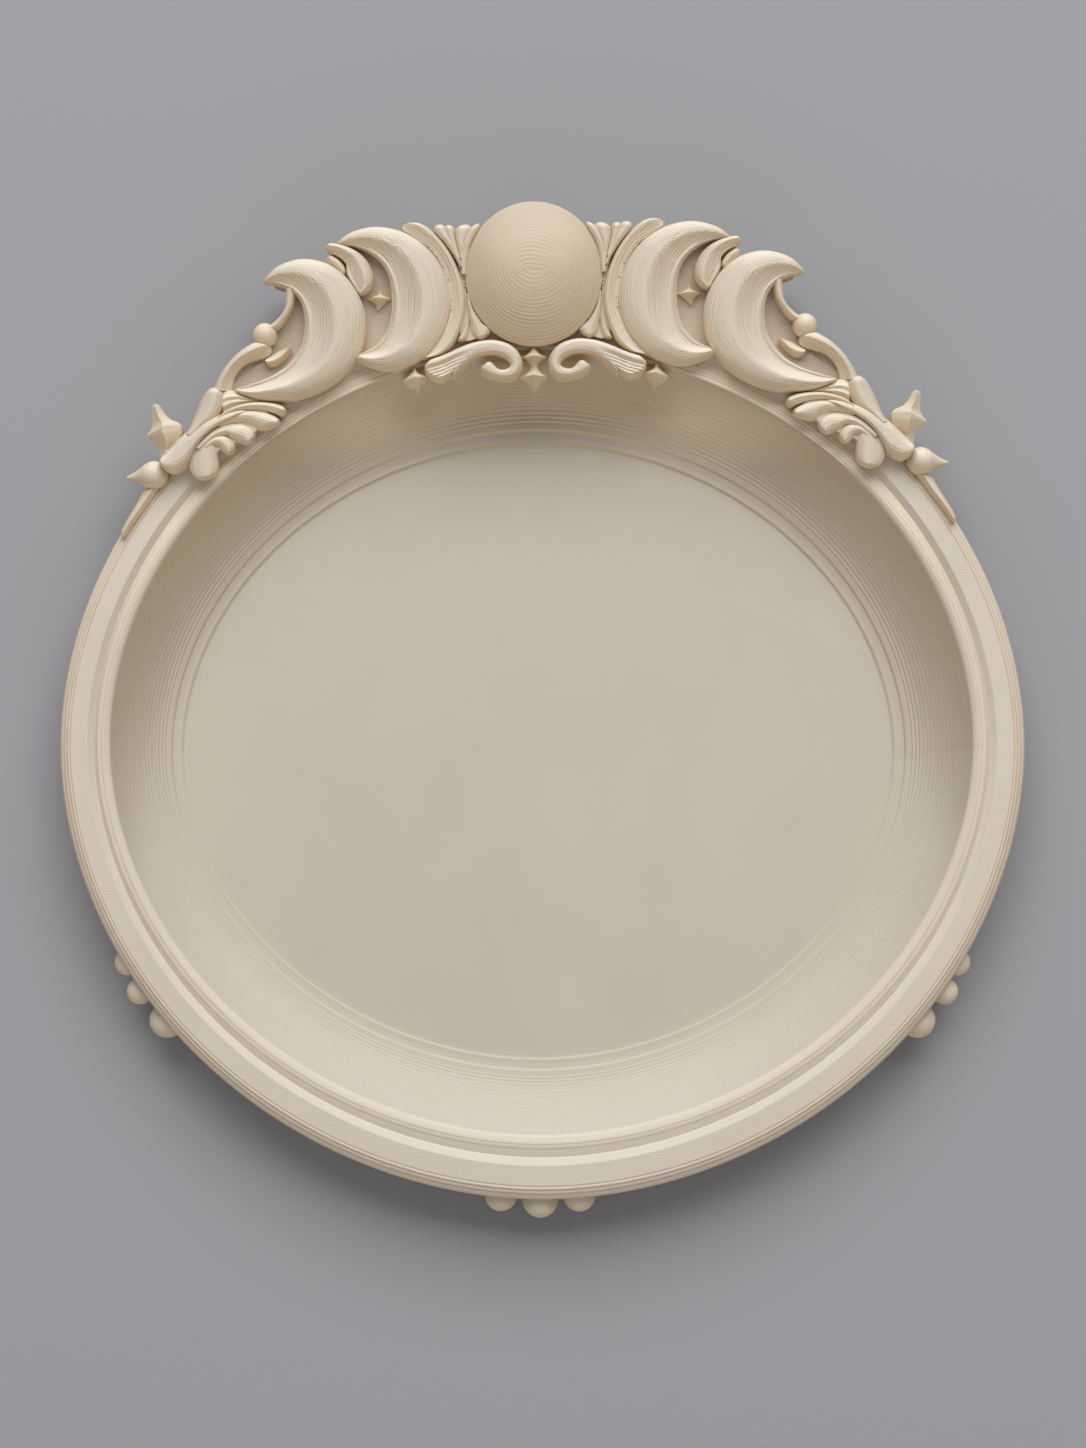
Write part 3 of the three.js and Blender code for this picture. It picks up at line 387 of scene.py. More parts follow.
def rim_profile():
    """An upright edge, half-round reeds, a level band and a bevel down to the groove."""
    top = bpy.context.scene.tray_sizes.height / MM
    edge = top - BAND_FALL - REED_BAND[1]
    k = np.linspace(0, 1, REEDS * 8 + 1)
    brim = top - BAND_FALL - BRIM_STEP[1]
    slope = np.stack([REED_START + (REED_BAND[0] - BRIM_STEP[0] - REED_START) * k,
                      brim - REED_ROLL * (1 - k) ** 1.5], axis=-1)
    along = np.gradient(slope, axis=0)
    normal = np.stack([-along[:, 1], along[:, 0]], axis=-1) / np.hypot(*along.T)[:, None]
    wave = np.abs(np.sin(np.pi * REEDS * k)) ** REED_FULLNESS
    reeds = slope + REED_DEPTH * wave[:, None] * normal
    side = filleted([[0, edge], [0, brim - REED_ROLL - 0.2], reeds[0]], 0.1)
    reeds = np.vstack([side[:-1], reeds])
    band_start = np.array([REED_BAND[0], top - BAND_FALL])
    band_end = np.array([BAND_INSET, top])
    w = np.linspace(0, 1, 30)[1:-1, None]
    band = band_start * (1 - w) + band_end * w
    bevel = filleted([band[-1], band_end, [GROOVE_INSET, top - GROOVE_FALL]], 0.2)[1:]
    seat = edge - SEAT_STEP
    inner = GROOVE_INSET + RIM_TUCK
    under = filleted([[inner, top - GROOVE_FALL - 0.1], [inner, seat], [SEAT_START, seat],
                      [0, edge]], 0.4)
    return np.vstack([reeds, band, bevel[:-1], under[:-1]])


def lip_path(groove, lip, seat):
    """From the seat up the groove's wall, over its strip, the riser and a fine notch to the lip."""
    start = GROOVE_INSET
    wall = start - GROOVE_BEVEL
    corners = [[wall, seat - SEAT_GAP], [wall, groove - GROOVE_BEVEL], [start, groove],
               [start + GROOVE_STRIP[0], groove + GROOVE_STRIP[1]]]
    corners += [[start + past, lip - fall] for past, fall in LIP_STEPS]
    corners.append([LIP_INSET, lip])
    corners += [[start + past, lip - fall] for past, fall in LIP_SHOULDER]
    corners.append([RIM_WIDTH, lip - LIP_SLOPE])
    return filleted(corners, 0.04, 3)


def coved_wall(floor, drop):
    """The dish's wall from its lip down to the floor, with the tint of its rows.

    The wall is nearly a parabola, with a little of a quarter ellipse. Its foot is two terraces.
    Above them are faint steps at an even pitch, each of its own strength, that fade towards the
    lip.
    """
    reach = COVE_WIDTH + COVE_TOE
    low, high = TERRACES
    deep = np.linspace(0.02, 1, 400)
    share = (COVE_ELLIPSE * (1 - np.sqrt(1 - deep ** 2))
             + (1 - COVE_ELLIPSE) * (1 - np.sqrt(1 - deep)))
    foot = np.interp(1 - high / drop, deep, share)
    spread = np.concatenate([np.linspace(share[0], foot, int(foot * reach / LINE_PITCH * 6)),
                             np.interp(1 - np.linspace(high, 0.02, 36)[1:] / drop, deep, share)])
    depth = np.interp(spread, share, deep)
    rise = drop * (1 - depth)
    inset = RIM_WIDTH + reach * spread
    coarse = np.where(rise > low, (rise - low) / (high - low), rise / low)
    place = (foot - spread) * reach / LINE_PITCH
    fine = 1 - np.mod(place, 1)
    own = np.random.default_rng(5).uniform(*STEP_STRENGTH, 99)[np.maximum(place, 0).astype(int)]
    comb = own * (rise > high) * smooth_step(depth, 0.2, 0.5)
    strength = STEP_LIFT[0] + STEP_LIFT[1] * smooth_step(depth, 0.5, 0.9)
    slope = -np.gradient(rise, inset) * LINE_PITCH * strength
    lift = np.where(rise > high, slope * comb * (fine - smooth_step(fine, 0.36, 0.64)),
                    TERRACE_LIFT * (smooth_step(coarse, 0.38, 0.62) - coarse))
    tint = 0.75 * (rise < high) * np.exp(-((coarse - 0.66) / 0.1) ** 2)
    tint = tint + 0.5 * comb * np.exp(-((fine - 0.36) / 0.14) ** 2)
    return np.stack([inset, floor + rise + lift], axis=-1), tint


def basin_profile():
    """The dish's profile, with its tint: underside, flare, groove and lip, wall and floor."""
    sizes = bpy.context.scene.tray_sizes
    floor = sizes.floor_thickness / MM
    top = sizes.height / MM
    lip = top - LIP_FALL
    seat = top - BAND_FALL - REED_BAND[1] - SEAT_STEP
    middle = sizes.width / MM / 2 - 0.001
    angle = np.linspace(0, np.pi / 2, 14)
    under = np.stack([np.linspace(middle, BASE_INSET + 1, 6), np.zeros(6)], axis=-1)
    flare = np.stack([BASE_INSET - (BASE_INSET - FLARE_INSET) * np.sin(angle),
                      (seat - SEAT_GAP) * (1 - np.cos(angle))], axis=-1)
    brim = lip_path(top - GROOVE_FALL, lip, seat)
    wall, tint = coved_wall(floor, lip - LIP_SLOPE - floor)
    flat = np.stack([np.linspace(FLOOR_INSET + COVE_TOE + 0.6, middle, 12),
                     np.full(12, floor)], axis=-1)
    plain = len(under) + len(flare) + len(brim)
    tint = np.concatenate([np.zeros(plain), tint, np.zeros(len(flat))])
    return np.vstack([under, flare, brim, wall, flat]), tint


def lip_ridge():
    """A half-round ridge along the lip below the crest that thins out to nothing at both ends.

    Its radius is the square root of 1 - share to the power 6, for a share from -1 to 1 along it.
    """
    lip = bpy.context.scene.tray_sizes.height / MM - LIP_FALL
    share = np.linspace(-1, 1, 240)[:, None]
    bearing = np.radians(90 + RIDGE_SPREAD * share)
    turn = turns(12)[None, :]
    radius = RIDGE_RADIUS * np.sqrt(1 - share ** 6)
    inset = RIM_WIDTH - RIDGE_RADIUS + radius * np.cos(turn)
    x, y = oval_points(inset, bearing)
    # Painted shade on the ridge's sides and underside, where it meets the lip
    crease = np.clip(0.55 - 1.5 * np.sin(turn), 0, 1)
    grain = triples(RIDGE_GRAIN, bearing * 90, crease)
    vertices = triples(x, y, lip - RIDGE_SINK + radius * np.sin(turn))
    return vertices, grid_faces(len(share), turn.size), grain


def crest_stretch():
    """How far the drawing stretches so that its foot and peak stand out from the rim's edge."""
    sizes = bpy.context.scene.tray_sizes
    crest = bpy.context.scene.crest_sizes
    half_x, half_y, power = sizes.width / 2, sizes.length / 2, sizes.oval_exponent
    along = (half_y + crest.peak_out) / (PLATE[-1][1] * MM)
    share = PLATE[0][1] * MM * along / half_y
    rim_reach = half_x * (1 - share ** power) ** (1 / power)
    return (rim_reach + crest.foot_out) / (-PLATE[0][0] * MM), along


def placed(x, y, sign):
    """Drawing millimetres to the tray's, mirrored by sign and turned with the crest."""
    turn = bpy.context.scene.crest_sizes.turn
    across, along = crest_stretch()
    u = sign * x * across
    v = y * along
    c, s = math.cos(turn), math.sin(turn)
    return u * c - v * s, u * s + v * c


def underside(x, y, low, hang=0.0):
    """Foot of a carving: on the plate outside the rim, and by the lip over the dish."""
    lip = bpy.context.scene.tray_sizes.height / MM - LIP_FALL
    return low + (lip + LIP_GAP - hang - low) * smooth_step(inset_of(x, y), *FOOT_CHANGE)


def end_closing(t, start, end):
    """Half-round closing of a strip's ends, over the shares start and end of its length."""
    close = np.ones_like(t)
    if start > 0:
        close = np.minimum(close, np.sqrt(1 - (1 - np.clip(t / start, 0, 1)) ** 2))
    if end > 0:
        close = np.minimum(close, np.sqrt(1 - (1 - np.clip((1 - t) / end, 0, 1)) ** 2))
    return close


def carved_strip(stations, crown_at, wall, crown, closes=(0, 0), base=None, sign=1,
                 rows=96, across=26, hang=0.0):
    """A strip lofted between two rails.

    Each rail is a Catmull-Rom curve through its side of the stations. Across the strip the height
    is the wall plus the crown times crown_at(t, q, width), where t runs along the strip, q from
    the first rail to the second, and width is the distance between them in mm. Over the dish the
    strip's foot hangs that far below the lip. Its grain is the distance from its nearer edge.
    The rows lie closer together near both ends.
    """
    top = bpy.context.scene.crest_sizes.plate_top / MM
    stations = np.asarray(stations, float)
    even = np.linspace(0, 1, rows + 1)
    t = even - ROW_EASE * np.sin(2 * np.pi * even)
    close = end_closing(t, *closes)[:, None]
    first = catmull_rom(stations[:, :2], t)
    second = catmull_rom(stations[:, 2:], t)
    middle = (first + second) / 2
    width = np.hypot(*(second - first).T)[:, None]
    first = middle + (first - middle) * close
    second = middle + (second - middle) * close
    q = (1 - np.cos(np.pi * np.arange(across + 1) / across)) / 2
    plan = first[:, None] + (second - first)[:, None] * q[None, :, None]
    height = top + wall + crown * close * crown_at(t[:, None], q[None, :], width)
    x, y = placed(plan[..., 0], plan[..., 1], sign)
    foot = underside(x, y, top - FOOT_DEPTH if base is None else base, hang)
    height = np.maximum(height, foot + LEAST_RISE)
    around = np.concatenate([[0], np.arange(across + 1), [across]])
    loop_z = np.concatenate([foot[:, :1], height, foot[:, -1:]], axis=1)
    steps = np.hypot(*np.diff(middle, axis=0).T)
    along = np.concatenate([[0], np.cumsum(steps)])[:, None]
    thin = 1 - smooth_step(np.minimum(width * close, 6.0), 0.5, 5.0)
    edge = np.minimum(q, 1 - q) * width * close
    grain = triples(edge[:, around], along, thin)
    return triples(x[:, around], y[:, around], loop_z), grid_faces(rows + 1, across + 3), grain


def add_strip(node, rails, crown_at, wall, crown, closes=(0, 0), finish="Ivory carving",
              crease=32.0, **options):
    """Adds a piece that is one carved strip; the options are the rest of carved_strip's."""
    shell = carved_strip(rails, crown_at, wall, crown, closes, **options)
    add_piece(node, [shell], finish, crease)


def half_ball(centre, radii, wall, crown, sign, around=48, up=16):
    """A boss on the backplate: ellipses that shrink to the centre as a quarter round rises."""
    top = bpy.context.scene.crest_sizes.plate_top / MM
    rings = np.cos(np.linspace(0, np.pi / 2, up))
    reach = np.concatenate([[0.0, 1.0], rings])[:, None]
    angle = turns(around)[None, :]
    x, y = placed(centre[0] + radii[0] * np.cos(angle) * reach,
                  centre[1] + radii[1] * np.sin(angle) * reach, sign)
    z = top + wall + crown * np.sqrt(np.clip(1 - reach ** 2, 0, 1)) + 0 * angle
    z[:2] = underside(x[:2], y[:2], top - FOOT_DEPTH)
    z[2:] = np.maximum(z[2:], z[1] + LEAST_RISE)
    size = max(radii)
    grain = triples(reach * size, 0 * angle, 1 - smooth_step(size, 2.0, 7.0))
    return triples(x, y, z), grid_faces(len(reach), around), grain


def slab(outline, rise, sign=1):
    """A flat bed under carvings, from a smooth closed outline in the crest's drawing."""
    top = bpy.context.scene.crest_sizes.plate_top / MM
    ring = np.vstack([outline, outline[:1]])
    edge = catmull_rom(ring, np.linspace(0, 1, 12 * len(outline), endpoint=False))
    x, y = placed(edge[:, 0], edge[:, 1], sign)
    foot = underside(x, y, top - FOOT_DEPTH)
    levels = [foot, np.maximum(top + rise, foot + LEAST_RISE)]
    vertices = np.concatenate([triples(x, y, z) for z in levels])
    return vertices, grid_faces(2, len(x)), triples(vertices[:, 1], vertices[:, 0], 0.0)


# Heights across a strip, from 0 at its edge to 1 on its crown

def rounded(t, q, width, power=2.2):
    """A full round, flatter in the middle as the power grows."""
    return (1 - np.abs(2 * q - 1) ** power) ** (1 / power) + 0 * t


def leaning(ridge, power=2.0):
    """A round whose crown lies at the share ridge of the width; a power near 1 is a roof."""
    def crown_at(t, q, width):
        side = np.where(q < ridge, 1 - q / ridge, (q - ridge) / (1 - ridge))
        return np.maximum(1 - side ** power, 0) ** (1 / power) + 0 * t
    return crown_at


def faceted(widest):
    """Faces that meet in a middle ridge, as high as the strip is wide: swellings are pyramids."""
    def crown_at(t, q, width):
        return (1 - np.abs(2 * q - 1)) * np.minimum(width / widest, 1) ** 0.85
    return crown_at


def turned(widest):
    """A round as high as the strip is wide, like a piece turned on a lathe."""
    def crown_at(t, q, width):
        return np.sqrt(np.maximum(1 - (2 * q - 1) ** 2, 0)) * np.minimum(width / widest, 1)
    return crown_at


def scooped(t, q, width, ridge, rest, lip=0.0, sharp=14.0):
    """A convex flank up to a ridge, then a hollow scoop with a small lip on the inner edge.

    The flank is a superellipse and the scoop a parabola; a soft minimum joins them at the ridge.
    """
    k = np.clip(q / ridge, 0, 1)
    flank = (1 - (1 - k) ** 2.1) ** (1 / 2.1)
    back = np.clip((q - ridge) / (1 - ridge), -0.2, 1)
    scoop = rest + (1 - rest) * (1 - back) ** 1.9
    joined = -np.log(np.exp(-sharp * flank) + np.exp(-sharp * scoop)) / sharp
    raised = lip * np.exp(-((back - 0.86) / 0.07) ** 2)
    bevel = smooth_step(1 - q, 0.0, 0.075)
    return (joined + raised) * (0.35 + 0.65 * bevel) + 0 * t


def fluted(count, depth):
    """A full round with lengthwise flutes."""
    def crown_at(t, q, width):
        return rounded(t, q, width) * (1 - depth * (0.5 - 0.5 * np.cos(2 * np.pi * count * q)))
    return crown_at


def crescent_crown(t, q, width):
    """The crescents' ridge drifts towards the mouth near both horns, and sinks as they narrow.

    A patch of small scars lies on the ridge near the upper horn.
    """
    ridge = 0.5 + 0.16 * np.abs(2 * t - 1) ** 3
    patch = np.exp(-((t - 0.3) / 0.085) ** 2 - ((q - 0.46) / 0.17) ** 2)
    scars = np.sin(2 * np.pi * q * width / 0.95 + 2.2 * np.sin(71 * t)) * np.sin(263 * t + 9 * q)
    low = np.minimum(width / 10, 1) ** 0.55
    return low * scooped(t, q, width, ridge, 0.3, lip=0.1) + 0.04 * patch * scars


def halo_crown(t, q, width):
    """A thick roll on the outer side that falls to a narrow gutter."""
    return scooped(t, q, width, 0.3, 0.52)


def curl_crown(t, q, width):
    """A light flank up to a ridge and a long scoop with a small lip."""
    return scooped(t, q, width, 0.4, 0.45, 0.1)


def scroll_crown(t, q, width):
    """A roll along the outer side of the fan that fills the whole width in the curl.

    Beside the roll the fan is a low swelling with shallow folds at an even distance from it.
    """
    reach = q * width
    roll = np.sqrt(np.maximum(1 - (np.minimum(reach, 2.8) / 1.4 - 1) ** 2, 0))
    body = 0.82 * smooth_step(reach, 0.9, 2.1)
    body = body + 0.035 * np.cos(2 * np.pi * (reach - 2.9) / 0.8) * smooth_step(reach, 2.0, 2.8)
    edge = np.sqrt(1 - (1 - np.clip((1 - q) * width / 0.8, 0, 1)) ** 2)
    fan = np.maximum(roll, body * edge)
    blend = smooth_step(t, 0.14, 0.34)
    return fan * (1 - blend) + rounded(t, q, width, 2.9) * blend


def vine_crown(t, q, width):
    """A light flank up to a roll, a steep inner face and a narrow low ledge."""
    return scooped(t, q, width, 0.48, 0.12)


# The left half of the crest's drawing. A strip's stations give x and y of its first rail, then
# of its second. A bed and the plate have the points of their outline.

INNER_CRESCENT = [
    [-41.2, 105.8, -40.9, 105], [-37.6, 107.9, -37.6, 104.8], [-32.4, 108.8, -34.2, 103.4],
    [-26.4, 107.3, -31.6, 101], [-21.4, 103.5, -30.2, 97.8], [-18.2, 98, -29.7, 94.2],
    [-17.5, 91.5, -29.9, 90.4], [-19.6, 85.3, -31, 86.9], [-24.2, 80.7, -33, 84.3],
    [-30.6, 78.8, -35.1, 83], [-37.4, 80.6, -37.6, 82.3]]
OUTER_CRESCENT = [
    [-56.8, 98.1, -56.4, 97.4], [-53.2, 101.1, -54, 97.3], [-48, 102.4, -51, 96],
    [-42.4, 101, -49, 93.8], [-38, 97, -48.1, 91], [-35.5, 91.5, -48, 88],
    [-35.6, 85.4, -48.9, 84.2], [-38.4, 79.8, -51.6, 80.5], [-43.4, 75.6, -55, 78.2],
    [-50, 73.2, -58.6, 76.8], [-57, 73, -61.4, 75.9], [-62.9, 75, -63.2, 75.5]]
HALO = [
    [-25.7, 110.1, -28.3, 108.1], [-22, 108.5, -25, 106.2], [-18.6, 104.9, -21.5, 103.4],
    [-16.2, 100.7, -19.2, 99.7], [-14.6, 95.6, -18, 95], [-14.6, 90.3, -17.9, 90.4],
    [-16.5, 84.9, -19.7, 85.7], [-19.2, 82.1, -22.3, 82.4], [-22.3, 81.1, -24.2, 81]]
WAVE_CURL = [
    [-43.7, 104.8, -43.5, 104.2], [-42.4, 105.6, -42, 103.3], [-40.2, 105.3, -40.4, 102.4],
    [-38, 104.5, -39.3, 101.2], [-36, 103.2, -39.2, 100.2], [-34.5, 101.4, -39.2, 99.2],
    [-33.6, 99.2, -38.8, 98.2], [-33.6, 97.2, -38.1, 97], [-34.6, 95.6, -37.3, 95.9],
    [-36.3, 94.5, -36.8, 95]]
CURL_LOBE = [
    [-43, 103.5, -43.5, 101.9], [-41.6, 102.9, -42.7, 101], [-40.2, 101.8, -41.7, 100.2],
    [-39.3, 100.3, -40.8, 99.4], [-39.3, 98.8, -40.2, 98.6]]
SCROLL = [
    [-23, 80.2, -23.2, 79.3], [-21.6, 81, -22.9, 77.9], [-19.8, 81.6, -21.4, 76.8],
    [-18, 82.3, -19.6, 76.4], [-16.2, 83.1, -17.7, 77.4], [-14.4, 83.8, -15.6, 78.9],
    [-12.6, 84.3, -13.8, 80.2], [-10.8, 84.6, -12, 81.1], [-9, 84.7, -10, 81.5],
    [-7.2, 84.4, -8.2, 81.4], [-5.5, 83.8, -6.9, 81], [-4.1, 82.8, -6, 80.4],
    [-3.1, 81.4, -5.5, 79.8], [-2.7, 79.9, -5.35, 79.3], [-2.9, 78.5, -5.5, 78.95],
    [-3.7, 77.2, -6, 78.65], [-5, 76.5, -6.7, 78.45], [-6.7, 76.3, -7.4, 78.5],
    [-8.4, 76.6, -8, 78.85], [-9.9, 77.1, -8.5, 79.4], [-11.1, 77.8, -9.2, 79.95],
    [-11.8, 78.6, -10.8, 79.9]]
PALMETTE = [
    [[-21.3, 108.7, -18.4, 109.3], [-20.3, 107, -17.9, 107.6], [-18.4, 104.8, -16.8, 105.6],
     [-16.6, 102.2, -15.6, 102.8], [-15.4, 100, -14.9, 100.2]],
    [[-18.7, 109, -16.2, 108.7], [-18.3, 107, -16.3, 106.8], [-17.2, 104.6, -15.9, 104.6],
     [-15.9, 101.8, -15.1, 101.8]],
    [[-16.2, 108.7, -12.5, 109.1], [-16.4, 106.9, -12.9, 107.2], [-16.1, 104.8, -14, 105],
     [-15.5, 102.4, -14.4, 102.2], [-15.2, 100, -14.5, 99.8]],
    [[-12.9, 108.7, -10.3, 109.4], [-13.9, 107, -11.7, 107], [-14.7, 104.8, -13, 104.7],
     [-15.1, 102.2, -13.7, 102], [-15.2, 98.6, -14.1, 98.4]]]
FAN_BED = [
    [-20.6, 107.6], [-17.6, 107.9], [-14.5, 107.9], [-12.2, 107.6], [-13.6, 104], [-14.2, 99],
    [-14, 93], [-12.6, 88.6], [-10.4, 86.4], [-12, 85.4], [-14.8, 85], [-16, 88.4], [-15, 93],
    [-15.4, 99], [-17.2, 103.4]]
LEAF_DROP = [
    [[-14.1, 94.8, -13.8, 94.7], [-14, 91.5, -12.7, 91.2], [-13.7, 88.8, -11, 88.5],
     [-13.3, 86.4, -9.2, 86.9], [-11.9, 84.9, -10.6, 85]],
    [[-13.9, 89.4, -13.6, 89.2], [-15.3, 86.9, -13.8, 86.6], [-16.5, 84.5, -14.3, 84.8]]]
ACANTHUS_STEM = [
    [-78.9, 61.3, -78.9, 60.2], [-77.5, 62.7, -77.6, 58.8], [-75.8, 64.4, -76, 58.2],
    [-74.2, 66, -74.3, 58.9], [-72.6, 67.2, -72.9, 60.1], [-70.6, 68.4, -71.9, 62],
    [-68.4, 69.5, -70.8, 63.8], [-66, 70.3, -69.2, 65.7], [-63.6, 71, -67, 67.4],
    [-61, 71.3, -64.6, 68.8], [-58.8, 71.2, -62, 69.9]]
ACANTHUS_LEAVES = [
    [[-66.5, 69.8, -65.8, 69.2], [-64.5, 71.2, -63.6, 70.2], [-62, 72.2, -61, 70.9],
     [-59.5, 72.7, -58.5, 71], [-57, 72.75, -56.2, 70.7], [-54.6, 72.45, -54.6, 70.2],
     [-52.8, 71.8, -53.2, 69.8], [-52, 71.1, -52.3, 70.3]],
    [[-66.5, 69.5, -66, 67.2], [-64, 70.4, -63.5, 68.2], [-61.5, 71, -61.3, 68.5],
     [-59, 71.05, -59.6, 68], [-56.8, 70.7, -58.4, 67.1], [-55, 70, -57, 66.9],
     [-53.8, 69.2, -55.2, 67.4], [-53.4, 68.4, -54, 67.8]],
    [[-71.3, 63.6, -70, 62.9], [-69.5, 65.6, -68, 64.4], [-67.5, 67.2, -66.3, 65.4],
     [-65.2, 68.2, -64.6, 65.8], [-62.8, 68.4, -63.6, 65.2], [-60.8, 68, -62.6, 64.7],
     [-59.3, 67.1, -61.6, 64.2], [-58.8, 66, -60.7, 64], [-59.2, 64.9, -60, 64.2]],
    [[-69.5, 64.2, -68.2, 63], [-68, 65.5, -67.3, 63.7], [-66.4, 66.1, -66.4, 63.6],
     [-64.8, 65.9, -65.9, 63], [-63.6, 65, -65.7, 62.6], [-63, 63.9, -65.3, 62.3],
     [-63.3, 62.8, -64.9, 62.1], [-63.9, 62.1, -64.5, 62]],
    [[-71.2, 64.3, -67.4, 65], [-72, 62.4, -66.8, 63.2], [-72.6, 60.8, -66.7, 61.4],
     [-72.6, 59.2, -66.6, 59.8], [-71.9, 57.7, -66.9, 58.3], [-70.6, 56.7, -68.1, 57]]]
FAN_LEAF = [
    [-12.4, 82.6, -12.6, 80.8], [-14.2, 81.6, -14.2, 79.6], [-15.8, 80.2, -15.5, 78.6],
    [-16.9, 78.6, -16.3, 77.8], [-17.5, 77.2, -17.1, 77]]
LEAF_BED = [
    [-72, 62], [-70, 66], [-66, 69.5], [-61, 71], [-56.5, 70.8], [-55, 68.4], [-58, 67.4],
    [-59.6, 65.6], [-62, 65], [-64.4, 63.4], [-66.6, 62.8], [-67.4, 60.4], [-70, 59], [-72, 60]]
BUD = [
    [-73.4, 66.4, -71.6, 65.8], [-72.4, 68, -68.8, 68.2], [-71.5, 70.2, -66.6, 69.9],
    [-70.7, 72.2, -65.4, 71.6], [-69.9, 73.8, -65, 73.4], [-69.3, 75, -65.1, 74.9],
    [-69, 76.1, -65.5, 76.1]]
TAIL_LEAF = [
    [-65.4, 75.2, -65.4, 70.2], [-63, 75.3, -63.4, 71.4], [-60.2, 74.1, -60.4, 72.4],
    [-57, 73.1, -57.2, 72.8]]
VINE_ARM = [
    [-56, 84.9, -54.7, 83.9], [-58.4, 85.4, -56, 82.3], [-61, 84.1, -58.4, 81.7],
    [-63, 82.5, -60.4, 81], [-64.9, 80.4, -62, 79.7], [-66.3, 78.2, -63, 78.1],
    [-67.2, 76.3, -63.5, 76.4], [-67.6, 75.2, -63.6, 75.2]]
UPPER_STEM = [
    [-50.1, 96.2, -51.9, 96.6], [-50.1, 94.4, -52, 94.6], [-50.5, 92.4, -52.2, 92.6],
    [-51.6, 90.4, -53.1, 90.9], [-53, 88.6, -54.6, 89.4], [-54.6, 87.5, -56, 88.5]]
LEAF_SPRIG = [
    [-56.6, 81.4, -56.6, 81.7], [-56, 80.5, -56.2, 82.2], [-54.8, 80.2, -55, 82.9],
    [-53.3, 80.8, -54, 83.5], [-52, 82, -53, 83.9], [-51.1, 83.4, -52, 84.3],
    [-51, 84.4, -51.4, 84.5]]
SPIKE = [
    [-80.1, 73, -79.3, 73], [-80.55, 72.2, -78.7, 72.3], [-80.5, 71, -78, 71],
    [-80.4, 69.8, -77, 70], [-80.4, 68.6, -76, 69.4], [-80.9, 67.4, -75.1, 69.1],
    [-81.7, 66.4, -74.4, 68.3], [-81, 65.6, -74.4, 67], [-80, 64.6, -74.9, 65.6],
    [-79.3, 63.8, -75.6, 64.4], [-79, 63.1, -76.2, 63.4], [-78.9, 62.2, -76, 62.6],
    [-78.8, 61, -75.6, 61.4]]
TEARDROP = [
    [-86.2, 57.95, -86.2, 57.55], [-85, 58.5, -85, 57.15], [-84, 59.1, -83.9, 56.8],
    [-83, 59.85, -82.8, 56.15], [-82, 60.6, -81.9, 55.55], [-80.7, 61.1, -80.6, 55.25],
    [-79.4, 60.95, -79.4, 55.45], [-78.3, 60.2, -78.3, 56.1], [-77.6, 59.2, -77.6, 57.2],
    [-77.4, 58.3, -77.4, 58.1]]
QUILL = [
    [-82.4, 55.6, -79, 56], [-84.1, 52.5, -81.2, 52.8], [-85.8, 49.8, -83.4, 50],
    [-87.1, 47.6, -85.3, 47.5], [-87.6, 46.3, -86.3, 46], [-87.3, 45.3, -86.9, 45.2]]
CENTRE_PENDANT = [
    [-0.4, 83.5, -0.2, 83.5], [-1, 82.7, 0.35, 82.7], [-1.6, 81.9, 1, 81.9],
    [-2.2, 81.5, 1.6, 81.5], [-2.8, 81.2, 2.2, 81.2], [-2, 80.9, 1.5, 80.9],
    [-1.5, 80.2, 0.8, 80.2], [-1.15, 79.6, 0.5, 79.6], [-1.05, 79, 0.45, 79],
    [-1.25, 78.4, 0.7, 78.4], [-1.9, 77.8, 1.3, 77.8], [-2.6, 77.4, 1.9, 77.4],
    [-3.25, 77.1, 2.45, 77.1], [-2.6, 76.7, 1.9, 76.7], [-2.05, 76.1, 1.4, 76.1],
    [-1.4, 75.4, 0.85, 75.4], [-0.95, 74.8, 0.35, 74.8], [-0.6, 74.3, -0.05, 74.3],
    [-0.4, 74, -0.3, 74]]
SIDE_PENDANT = [
    [-25.4, 79.5, -25.2, 79.5], [-25.9, 78.6, -24.8, 78.6], [-26.5, 77.9, -24.1, 78.1],
    [-27.2, 77.3, -23.3, 77.8], [-27.7, 76.8, -22.7, 77.5], [-27.4, 76.2, -23.2, 76.6],
    [-26.7, 75.6, -23.8, 75.9], [-25.9, 75.3, -24.1, 75.4], [-25.4, 74.9, -24.35, 74.8],
    [-25.1, 74.4, -24.5, 74.4], [-24.85, 74.05, -24.7, 74.05]]
SMALL_STAR = [
    [-32.45, 96.3, -32.3, 96.3], [-32.7, 95.6, -32.1, 95.6], [-33, 95, -31.8, 95],
    [-33.6, 94.6, -31.3, 94.6], [-34.9, 94.15, -30.1, 94.05], [-34, 93.6, -30.9, 93.5],
    [-33.5, 93.1, -31.4, 93], [-33.2, 92.6, -31.9, 92.5], [-33.1, 92.1, -32.3, 92.1],
    [-32.9, 91.6, -32.7, 91.6]]
PLATE = [
    [-78.3, 60.2], [-78.3, 62.8], [-76.4, 63.6], [-74.9, 64.8], [-71.6, 67.6], [-70.5, 71.5],
    [-69, 74.6], [-67, 75.4], [-65.5, 78], [-63, 81.4], [-60, 84], [-57.8, 85.2], [-58.2, 87.2],
    [-55.6, 88], [-52.8, 90.8], [-51.5, 93.6], [-51.6, 96.6], [-55.2, 98.3], [-52.6, 100.2],
    [-48, 101.4], [-43.6, 101.5], [-42.2, 102.8], [-42, 104.6], [-37.6, 106.8], [-32.4, 107.8],
    [-27.6, 107.4], [-25.4, 108.8], [-22, 107.6], [-19.6, 108.4], [-14.6, 108.4], [-11, 107.4],
    [-7.2, 109.4], [-3.7, 111], [0, 111.5]]

